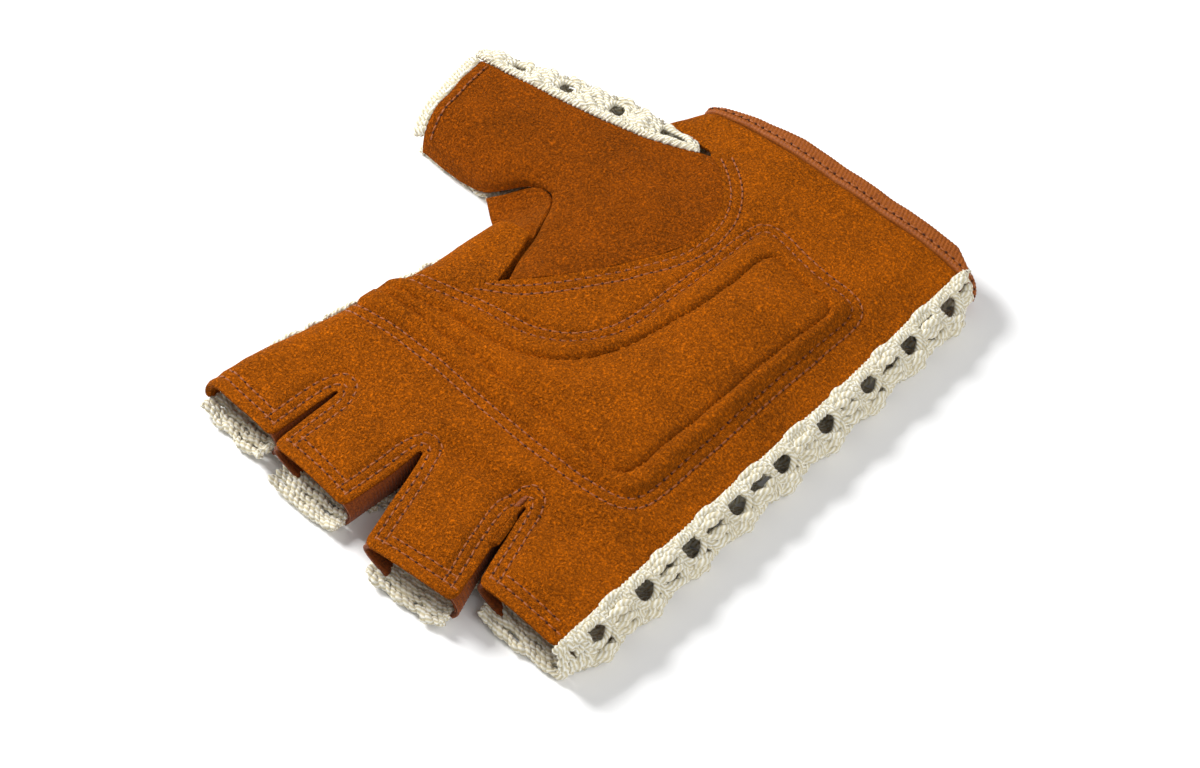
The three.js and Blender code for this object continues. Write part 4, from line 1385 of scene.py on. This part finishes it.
@dataclass
class CuffBinding:
    """Grosgrain tape folded over the whole cuff edge."""

    rib_pitch: float = 1.0
    rib_depth: float = 0.10
    rib_slant: float = 0.35
    thickness: float = 2.3
    step: float = 0.25
    low_z: float = 0.15
    low_from_x: float = -43.6
    corner: float = 0.16
    # x, width of the tape
    widths: Rows = ((-44.0, 2.6), (-38.0, 5.3), (8.0, 5.3), (27.0, 3.1), (34.0, 1.8))
    # x, z
    little_side: Rows = ((-45.8, 1.6), (-46.6, 4.6), (-45.8, 8.0), (-43.4, 10.0))

    def _loop(self) -> Array:
        """The tape's outer line round the cuff.

        Returns:
            The line in x and z.
        """
        y = CUFF_Y - 2.0
        shoulder = float(FORM.side_x(y)) - FORM.side_round
        corner_x = shoulder + FORM.side_round - 1.6
        loop = [(self.low_from_x, self.low_z), *self.little_side]
        loop += [(x, float(FORM.crown(x, y))) for x in np.linspace(loop[-1][0], shoulder, 13)[1:]]
        top = loop[-1][1]
        for angle in (0.35 * math.pi / 2, 0.7 * math.pi / 2, math.pi / 2):
            loop.append((shoulder + FORM.side_round * math.sin(angle),
                         top - (top - 3) * (1 - math.cos(angle))))
        loop += [(x, self.low_z) for x in np.linspace(corner_x, self.low_from_x, 9)[:-1]]
        return curve_through(loop, self.step, closed=True)

    def _section(self) -> Array:
        """The folded tape's section.

        Returns:
            Rows of share of the width, share of the depth and strength of the ribs.
        """
        corner, flat = self.corner, 1 - 2 * self.corner
        rows = [(corner + flat * share, 0.0, 1.0) for share in np.linspace(0.0, 1.0, 9)]
        rows += [(1 - corner + corner * math.sin(angle), 0.5 - 0.5 * math.cos(angle), 1.0)
                 for angle in np.linspace(0, math.pi, 9)[1:-1]]
        rows += [(corner + flat * share, 1.0, 0.6) for share in np.linspace(1.0, 0.0, 6)]
        rows += [(corner + corner * math.sin(angle), 0.5 - 0.5 * math.cos(angle), 0.6)
                 for angle in np.linspace(math.pi, TURN, 7)[1:-1]]
        return np.array(rows)

    def build(self, finishes: Finishes) -> Lines:
        """Makes the tape.

        Args:
            finishes: The materials.

        Returns:
            The stitch row along the tape's inner edge.
        """
        loop = self._loop()
        out_x, out_z = left_of(loop, closed=True).T
        run = np.arange(len(loop)) * self.step
        wave = 0.1 * soft_noise(run, run * 0, 9.0, 31)
        near = cuff_y(loop[:, 0]) - 0.4
        share, depth_share, strength = self._section().T
        back = look_up(self.widths, loop[:, 0])[:, None] * share
        place = (run[:, None] - self.rib_slant * back) / self.rib_pitch
        rib = self.rib_depth * np.cos(TURN * place) * strength
        depth = rib + wave[:, None] - depth_share * self.thickness
        points = np.stack([loop[:, :1] + out_x[:, None] * depth, near[:, None] - back,
                           np.maximum(loop[:, 1:] + out_z[:, None] * depth, 0.0)], axis=-1).reshape(-1, 3)
        count = len(share)
        faces = []
        for start in range(0, len(points), count):
            for i in range(count):
                first, second = start + i, start + (i + 1) % count
                faces.append([k % len(points) for k in (first, second, second + count, first + count)])
        Skin(points, faces).upright().piece("cuff_tape", finishes.tape, "binding_tape", "cuff_binding")
        lift = 0.05 + wave
        stitch = np.stack([loop[:, 0] + out_x * lift, near - 1.5, loop[:, 1] + out_z * lift], axis=1)
        return [stitch[(out_z > -0.2) | (loop[:, 1] > 3.0)]]


# Crochet

class Zone(Enum):
    """The parts that the crochet is made in."""

    SIDE = "side"
    KNUCKLES = "knuckles"
    HAND = "hand"
    THUMB = "thumb"


@dataclass
class Fabric:
    """Crochet over columns and rows: how its stitches are worked, whatever it lies on."""

    yarn: float = 0.60
    fabric_z: float = 1.15
    post_points: int = 11
    post_lean: float = 0.4
    post_swell: float = 1.1
    post_puff: float = 0.5
    post_jitter: float = 0.0
    twist: float = 0.42
    column_width: float = 6.0

    def point(self, column: Array, row: Array, lift: Array | float = 0.0) -> Array:
        """Points on the fabric; each fabric has its own."""
        raise NotImplementedError

    def above_floor(self, z: Array) -> Array:
        """Heights at which the yarn clears the floor."""
        return np.maximum(z, self.yarn + 0.02)

    def loop(self, cell: int, middle: float, wide: float, tall: float, size: float) -> Array:
        """A slack round of yarn that rounds off one hole.

        Args:
            cell: The hole's column.
            middle: Its middle along the rows.
            wide: Half its width in columns.
            tall: Half its height in rows.
            size: Size of the yarn.

        Returns:
            The strand.
        """
        turn = np.linspace(0, TURN, 19)
        points = self.point(cell + 0.5 + wide * np.cos(turn), middle + tall * np.sin(turn),
                            0.25 + 0.3 * np.sin(3 * turn + cell))
        return sized(points, size + 0.2 * np.sin(5 * turn))

    def posts(self, cell: int, shares: tuple, low: float, top: float, random: np.random.Generator) -> Lines:
        """Tall stitches of one cluster, each of two strands twisted round each other.

        Args:
            cell: The cluster's column.
            shares: Where the stitches stand in the cell, from 0 to 1.
            low: Row at which they start.
            top: Row at which they end.
            random: Source of their unevenness.

        Returns:
            The strands.
        """
        strands = []
        share = np.linspace(0.0, 1.0, self.post_points)
        swell = np.sin(math.pi * share)
        for place in shares:
            lean = self.post_lean * (0.5 - place) * (1 - swell)
            middle = cell + place + lean + 0.05 * random.standard_normal()
            start = random.uniform(0, TURN)
            for strand in (0.0, math.pi):
                phase = start + strand + share * TURN * 1.1
                row = low + (top - low) * share
                if self.post_jitter > 0.0:
                    row = row + self.post_jitter * random.standard_normal()
                lift = 0.1 + self.post_swell * swell + self.twist * np.sin(phase)
                points = self.point(middle + self.twist * np.cos(phase) / self.column_width, row, lift)
                strands.append(sized(points, 1.0 + self.post_puff * swell))
        return strands


@dataclass
class CrochetBack(Fabric):
    """The crochet of the hand: rows of puffed clusters and holes, brick fashion."""

    row_pitch: float = 7.2
    top_row_y: float = 57.2
    post_jitter: float = 0.12
    rim_start: float = 1.5
    columns: int = 18
    right_rows: Rows = ((-78, 31.6), (-72, 33.8), (-65.5, 36.8), (-62.5, 33.0), (-45, 35.6), (-30, 41.4),
                        (-18, 45.2), (-3, 48.8), (6, 49.8), (18, 52.8), (37, 57.2), (51, 59.2), (64, 60.2))
    # share of the way down the wall, bulge, height
    wall: Rows = ((0.0, -0.5, 9.7), (0.18, 1.9, 9.0), (0.42, 4.2, 6.6), (0.66, 4.9, 4.0),
                  (0.86, 3.4, 1.9), (1.0, 0.6, 1.1))
    fingers: tuple[Tongue, ...] = (
        Tongue(-43.4, -17.0, -43.0, -22.8, 62.6, 62.4, 44.0),
        Tongue(-14.8, 8.0, -21.0, 1.6, 69.4, 70.4, 44.0),
        Tongue(10.2, 32.8, 12.2, 33.6, 67.6, 66.0, 44.0),
        Tongue(35.0, 55.8, 36.7, 58.8, 64.4, 62.2, 44.0),
    )

    def wall_point(self, share: Array, y: Array) -> tuple[Array, Array]:
        """Places on the wall beside the little finger, from the suede's edge to the table.

        Args:
            share: 0 at the edge to 1 at the table.
            y: Plan y.

        Returns:
            Their x and z.
        """
        swell = 0.35 + 0.65 * smooth((66 - y) / 14) * smooth((y - CUFF_Y) / 10)
        edge = look_up(FORM.little_edge, y)
        return edge - look_up(self.wall, share) * swell, look_up(self.wall, share, 2)

    def point(self, column: Array, row: Array, lift: Array | float = 0.0) -> Array:
        """Points on the fabric.

        Args:
            column: 0 to 2 climb down the wall, 2 to 18 cross the hand's back.
            row: Plan y.
            lift: How far each point stands out of the fabric.

        Returns:
            The points.
        """
        column, y = np.broadcast_arrays(np.asarray(column, float), np.asarray(row, float))
        share = np.clip(column / 2, 0, 1)
        wall_x, wall_z = self.wall_point(share, y)
        ahead = np.stack(self.wall_point(np.clip(share + 0.04, 0, 1), y))
        run = ahead - np.stack(self.wall_point(np.clip(share - 0.04, 0, 1), y))
        run_x, run_z = run / np.maximum(np.hypot(*run), 1e-6)
        lift = np.asarray(lift) * (0.25 + 0.75 * smooth(column / 0.55))
        on_wall = column < 2
        x = np.where(on_wall, wall_x + run_z * lift, self._flat_x(np.clip(column - 2, 0, 16), y))
        curl = 3.0 * smooth(column - 17.0) * smooth((y + 6) / 8) * smooth((50 - y) / 10)
        z = np.where(on_wall, wall_z - run_x * lift, self.fabric_z + curl - lift)
        return np.stack([x, y, self.above_floor(z)], axis=-1)

    def _flat_x(self, column: Array, y: Array) -> Array:
        """X of a column on the flat part, split to the fingers above the knuckles.

        Args:
            column: 0 to 16, four to each finger.
            y: Plan y.

        Returns:
            One x for each point.
        """
        order = np.clip((column // 4).astype(int), 0, 3)
        share = np.clip((column - 4 * order) / 4, 0, 1)
        roots_from = np.array([finger.root_from for finger in self.fingers])
        roots_to = np.array([finger.root_to for finger in self.fingers])
        root_x = roots_from[order] + (roots_to - roots_from)[order] * share
        left = look_up(FORM.little_edge, y) + 1.2
        across = (root_x - roots_from[0]) / (roots_to[-1] - roots_from[0])
        chosen = (order, *np.indices(order.shape))
        lefts = np.array([finger.left(y) for finger in self.fingers])[chosen]
        rights = np.array([finger.right(y) for finger in self.fingers])[chosen]
        body_x = left + (look_up(self.right_rows, y) - left) * across
        return np.where(y > KNUCKLE_Y, lefts + (rights - lefts) * share, body_x)

    def strands(self) -> dict[Zone, Lines]:
        """Works every strand of yarn.

        Returns:
            The strands by zone, as points with a size.
        """
        zones: dict[Zone, Lines] = {Zone.SIDE: [], Zone.KNUCKLES: [], Zone.HAND: []}
        random = np.random.default_rng(17)
        for row in range(18):
            top = self.top_row_y - self.row_pitch * row
            low = max(top - self.row_pitch, CUFF_Y + 0.4)
            self._chain(zones, top, random)
            for cell in range(self.columns):
                zone = zones[self._zone(cell, low)]
                if (row + cell) % 2 == 0:
                    wide = 0.40 + 0.03 * random.standard_normal()
                    zone.append(self.loop(cell, (low + top) / 2, wide, 0.41 * (top - low), 1.25))
                else:
                    zone += self.posts(cell, (0.02, 0.34, 0.66, 0.98), low, top, random)
        self._chain(zones, CUFF_Y + 0.6, random)
        for order, finger in enumerate(self.fingers):
            rim = min(finger.tip_from_y, finger.tip_to_y)
            rows = max(3, round((rim - self.top_row_y + self.rim_start) / 1.7))
            for share in np.linspace(0.0, 1.0, rows + 1):
                zones[Zone.SIDE if order == LITTLE else Zone.KNUCKLES] += self._rim_row(order, share)
        edge = np.arange(CUFF_Y + 1.0, 60.0, 0.55)
        for phase in strands_of(edge, 1 / 3.4):
            points = self.point(0.14 + 0.12 * np.sin(phase), edge, 0.45 * np.sin(2 * phase) + 0.2)
            zones[Zone.SIDE].append(sized(points, 1.1))
        return zones

    @staticmethod
    def _zone(cell: int, y: float) -> Zone:
        """The piece that a cell belongs to."""
        hand = Zone.KNUCKLES if y > 5.0 else Zone.HAND
        return Zone.SIDE if cell < 3 else hand

    def _chain(self, zones: dict[Zone, Lines], y: float, random: np.random.Generator) -> None:
        """Works a plaited row right across the hand, broken between the fingers above the knuckles.

        Args:
            zones: Where the strands go.
            y: The row's place.
            random: Source of its unevenness.
        """
        spans = [(0.0, 18.0)] if y < KNUCKLE_Y else [(0.0, 6.0), (6.02, 10.0), (10.02, 14.0), (14.02, 18.0)]
        for start, end in spans:
            column = np.arange(start, end, 0.13)
            wave = 0.45 * soft_noise(column * self.column_width, 0 * column + y, 8.0, 60)
            side = column < 3.0
            for phase in strands_of(column, 1.45):
                points = self.point(column, y + 0.78 * np.sin(phase) + wave, 0.45 * np.sin(2 * phase) + 0.35)
                line = sized(points, 1.08 + 0.06 * random.standard_normal())
                if side.any():
                    zones[Zone.SIDE].append(line[side | np.roll(side, 1)])
                if (~side).any():
                    zones[self._zone(4, y)].append(line[~side])

    def _rim_row(self, order: int, share: float) -> Lines:
        """One close row of a finger's rim, across the finger from side to side.

        Args:
            order: The finger, counted from the little one.
            share: 0 at the last full row to 1 at the tip.

        Returns:
            The row's two strands.
        """
        finger = self.fingers[order]
        start, wide, trim = (0.0, 6.0, 0.0) if order == LITTLE else (4.0 * order + 2.0, 4.0, 0.12)
        column = np.arange(start + trim, 4.0 * order + 5.88, 0.1)
        across = 2 * (column - start) / wide - 1
        low = self.top_row_y - self.rim_start
        tip = finger.tip_from_y + (finger.tip_to_y - finger.tip_from_y) * (column - start) / 4
        y = low + (tip - low) * share
        cup = 2.4 * (np.clip(across, 0, 1) if order == LITTLE else np.abs(across))**4
        if order == INDEX:
            cup = cup + 2.2 * np.clip(-across, 0, 1)**4
        bob = 0.4 * soft_noise(column * self.column_width, np.full(len(column), share * 9), 4.5, 40 + order)
        size = 1.12 + 0.22 * np.sin(column * TURN * 0.85 + 2.0 * share)
        rows = []
        for phase in strands_of(column, 1.7, 2):
            points = self.point(column, y + 0.5 * np.sin(phase) + bob, 0.35 * np.cos(phase))
            points[:, 2] += cup + 0.3 * np.abs(bob)
            rows.append(sized(points, size))
        return rows


@dataclass
class CrochetThumb(Fabric):
    """The crochet under the thumb and up its far side."""

    yarn: float = 0.56
    post_points: int = 10
    post_lean: float = 0.45
    post_swell: float = 0.8
    post_puff: float = 0.35
    column_width: float = 5.0
    columns: int = 9
    stations: Rows = (
        # near x, y; far x, y; wall x, y; top x, y, z
        (33.0, -58.2, 33.4, -60.0, 27.6, -62.6, 23.4, -58.8, 10.7),
        (34.6, -50.4, 38.4, -60.2, 38.0, -62.0, 35.0, -54.5, 10.9),
        (37.8, -41.6, 43.6, -60.0, 44.4, -61.6, 41.2, -53.1, 11.1),
        (42.1, -30.6, 49.4, -59.0, 50.4, -60.4, 48.0, -51.7, 11.2),
        (46.8, -23.4, 56.0, -57.3, 57.2, -59.0, 55.4, -50.6, 11.3),
        (54.8, -22.8, 61.8, -55.8, 63.2, -57.6, 62.0, -49.8, 11.3),
        (62.2, -22.9, 67.8, -54.0, 69.4, -55.8, 68.6, -49.1, 11.3),
        (69.4, -23.2, 74.0, -52.2, 75.4, -54.0, 75.0, -48.4, 11.3),
        (76.6, -24.0, 80.4, -50.4, 82.2, -52.2, 81.8, -48.0, 11.1),
    )

    def point(self, column: Array, row: Array, lift: Array | float = 0.0) -> Array:
        """Points on the fabric.

        Args:
            column: 0 to 7 cross under the thumb, 7 to 9 climb the far side.
            row: 0 at the root to 8 at the tip.
            lift: How far each point stands out of the fabric.

        Returns:
            The points.
        """
        column, row = np.broadcast_arrays(np.asarray(column, float), np.asarray(row, float))
        table = np.array(self.stations)
        at = np.stack([np.interp(row, np.arange(len(table)), values) for values in table.T], axis=-1)
        level = np.full((*row.shape, 1), self.fabric_z)
        near, far = (np.concatenate([at[..., k:k + 2], level], axis=-1) for k in (0, 2))
        wall = np.concatenate([at[..., 4:6], 0.80 * at[..., 8:]], axis=-1)
        climb = np.clip(column - 7, 0, 2)
        across, first, second = (np.clip(share, 0, 1)[..., None] for share in (column / 7, climb, climb - 1))
        low = near + (far - near) * across
        points = low + (wall - low) * first + (at[..., 6:] - wall) * second
        out = smooth(climb / 0.8)[..., None]
        lean = smooth(climb - 1.0)[..., None]
        outward = np.array([0.15, -1.0, 0.0]) * (1 - 0.6 * lean) + np.array([0, 0, 0.8]) * lean
        normal = unit((1 - out) * np.array([0, 0, -1.0]) + out * outward)
        points = points + normal * np.broadcast_to(np.asarray(lift, float), row.shape)[..., None]
        points[..., 2] = self.above_floor(points[..., 2])
        return points

    def strands(self) -> Lines:
        """Works every strand of the thumb's crochet.

        Returns:
            The strands, as points with a size.
        """
        random = np.random.default_rng(23)
        lines = []
        last = len(self.stations) - 1
        for row in range(last + 1):
            column = np.arange(0.0, self.columns, 0.14)
            for phase in strands_of(column, 1.3):
                points = self.point(column, row + 0.1 * np.sin(phase), 0.45 * np.sin(2 * phase) + 0.25)
                lines.append(sized(points, 1.0))
            for cell in range(self.columns if row < last else 0):
                if (row + cell) % 2 == 0 and row < last - 1:
                    lines.append(self.loop(cell, row + 0.5, 0.36, 0.38, 1.3))
                else:
                    lines += self.posts(cell, (0.08, 0.36, 0.64, 0.92), row, row + 1, random)
        return lines + self._edges(last)

    def _edges(self, last: int) -> Lines:
        """Works the edging at the tip and along the far side.

        Args:
            last: The last row's number.

        Returns:
            The strands.
        """
        lines = []
        column = np.arange(0.0, self.columns, 0.12)
        for phase in strands_of(column, 1.7, 2):
            points = self.point(column, last - 0.12 + 0.06 * np.sin(phase), 0.3 * np.cos(phase))
            lines.append(sized(points + np.array([1.0, 0.0, 0.0]), 1.1))
        edge = np.linspace(0.04, 0.98, 110)
        thumb = ThumbFront()
        front = thumb.face(edge, np.full(len(edge), float(len(thumb.stations))))
        for out, down in ((0.9, 0.9), (2.3, 1.9)):
            for phase in strands_of(edge, 9.0):
                shift = [out + 0.6 * np.sin(phase), 0 * phase, 0.4 * np.sin(2 * phase) - down]
                lines.append(sized(front + np.stack(shift, axis=1), 1.15))
        along = np.arange(0.0, last, 0.09)
        for phase in strands_of(along, 2.1):
            column = self.columns - 0.1 + 0.1 * np.sin(phase)
            lines.append(sized(self.point(column, along, 0.4 * np.sin(2 * phase) + 0.3), 1.05))
        return lines


@dataclass
class Crochet:
    """All the crochet, grown from its strands."""

    sides: int = 6
    slub: float = 0.16
    slub_scale: float = 420.0
    spread: float = 1.18

    def build(self, finishes: Finishes) -> None:
        """Makes the crochet pieces.

        Args:
            finishes: The materials.
        """
        tree = yarn_tree()
        hand = CrochetBack()
        zones = {**hand.strands(), Zone.THUMB: CrochetThumb().strands()}
        for zone, strands in zones.items():
            lines = [line for line in strands if len(line) > 2]
            for line in lines:
                line[:, 2] = np.maximum(line[:, 2], hand.yarn * self.spread * line[:, 3] + 0.02)
            piece = tree.grow(f"crochet_{zone.value}_yarn", lines, {
                "Yarn Radius": hand.yarn * MM, "Sides": self.sides, "Slub": self.slub,
                "Slub Scale": self.slub_scale, "Material": finishes.cotton})
            dress(piece, "crochet_thumb" if zone is Zone.THUMB else "crochet_back")


@dataclass
class Stitching:
    """Thread along every seam, and dark grains of painted shade at its needle holes."""

    pitch: float = 2.2
    stitch: tuple[float, ...] = (0.00027, 0.00027, 0.00084)
    # Size of each dark grain of painted shade at a needle hole.
    needle_hole_shade: tuple[float, ...] = (0.00036, 0.00024, 0.00034)

    def __post_init__(self) -> None:
        """Builds the tree that all the stitches share."""
        self.tree = stitch_tree()

    def build(self, name: str, lines: Lines, finishes: Finishes) -> None:
        """Makes the thread and, half a stitch on, dark grains at the holes whose colour is painted shade.

        Args:
            name: The pieces' first name.
            lines: The rows of stitches.
            finishes: The materials.
        """
        even = [spaced(line, self.pitch) for line in lines]
        shifted = [(line[1:] + line[:-1]) / 2 for line in even if len(line) > 2]
        for kind, paths, size, wobble, seed, material in (
                ("_thread", lines, self.stitch, 0.10, 4, finishes.thread),
                # The grains at the holes are painted shade.
                ("_holes", shifted, self.needle_hole_shade, 0.2, 9, finishes.hole)):
            dress(self.tree.grow(name + kind, paths, {
                "Pitch": self.pitch * MM, "Stitch Size": size, "Wobble": wobble, "Seed": seed,
                "Material": material}))


# The studio

@dataclass(frozen=True)
class Studio:
    """Camera at the photograph's angle, soft light from the thumb's side and a pale floor."""

    azimuth: float = 222.0
    elevation: float = 50.0
    distance: float = 0.6344
    lens: float = 88.2
    world_light: float = 0.27
    floor_half: float = 3.0
    # x, y, z, size, power
    lights: Rows = ((0.56, 0.05, 0.48, 0.27, 8.2), (-0.62, 0.04, 0.54, 0.62, 3.9))

    def build(self) -> None:
        """Makes the camera, the lights, the world and the floor."""
        a, e = math.radians(self.azimuth), math.radians(self.elevation)
        back = Vector((math.sin(a) * math.cos(e), -math.cos(a) * math.cos(e), math.sin(e)))
        lens = bpy.data.cameras.new("camera")
        lens.lens = self.lens
        lens.sensor_width = 36.0
        lens.clip_start = 0.01
        camera = self._aimed("camera", lens, Vector(PLAN_SHIFT * MM) + back * self.distance, -back)
        scene = bpy.context.scene
        scene.camera = camera
        for name, (x, y, z, size, power) in zip(("key", "fill"), self.lights):
            lamp = bpy.data.lights.new(name, "AREA")
            lamp.size = size
            lamp.energy = power
            self._aimed(name, lamp, Vector((x, y, z)), -Vector((x, y, z)))
        scene.world = bpy.data.worlds.new("studio")
        scene.world.use_nodes = True
        background = scene.world.node_tree.nodes["Background"].inputs
        background["Color"].default_value = (1.0, 1.0, 1.0, 1.0)
        background["Strength"].default_value = self.world_light
        scene.view_settings.view_transform = "Standard"
        self._floor()

    @staticmethod
    def _aimed(name: str, data: bpy.types.ID, place: Vector, towards: Vector) -> Object:
        """Puts a camera or lamp in its place.

        Args:
            name: Its name.
            data: The camera or lamp.
            place: Where it stands, in metres.
            towards: The direction that it faces.

        Returns:
            The object.
        """
        made = placed(name, data)
        made.location = place
        made.rotation_mode = "QUATERNION"
        made.rotation_quaternion = towards.to_track_quat("-Z", "Y")
        return made

    def _floor(self) -> None:
        """A large pale floor under the glove."""
        half = self.floor_half
        corners = [(-half, -half, 0), (half, -half, 0), (half, half, 0), (-half, half, 0)]
        mesh = bpy.data.meshes.new("floor")
        mesh.from_pydata(corners, [], [(0, 1, 2, 3)])
        pale = {"Roughness": 0.9, "Base Color": (0.93, 0.93, 0.93, 1.0), "Specular IOR Level": 0.0}
        mesh.materials.append(Shader("pale_floor", pale).material)
        placed("floor", mesh)


def main() -> None:
    """Builds the glove piece by piece and then the studio."""
    logging.basicConfig(level=logging.INFO, format="%(message)s")
    finishes = Finishes()
    palm = PalmPanel()
    palm.build(finishes)
    edge_seams = ThumbFront().build(finishes)
    ThumbGusset().build(finishes)
    for lower in range(len(TONGUES) - 1):
        Fourchette(lower).build(finishes)
    edge_seams += CuffBinding().build(finishes)
    Crochet().build(finishes)
    stitching = Stitching()
    stitching.build("palm_seams", [palm.surface(seam, 0.04) for seam in palm.seams], finishes)
    stitching.build("edge_seams", [seam + np.array([0, 0, 0.1]) for seam in edge_seams], finishes)
    Studio().build()


if __name__ == "__main__":
    main()
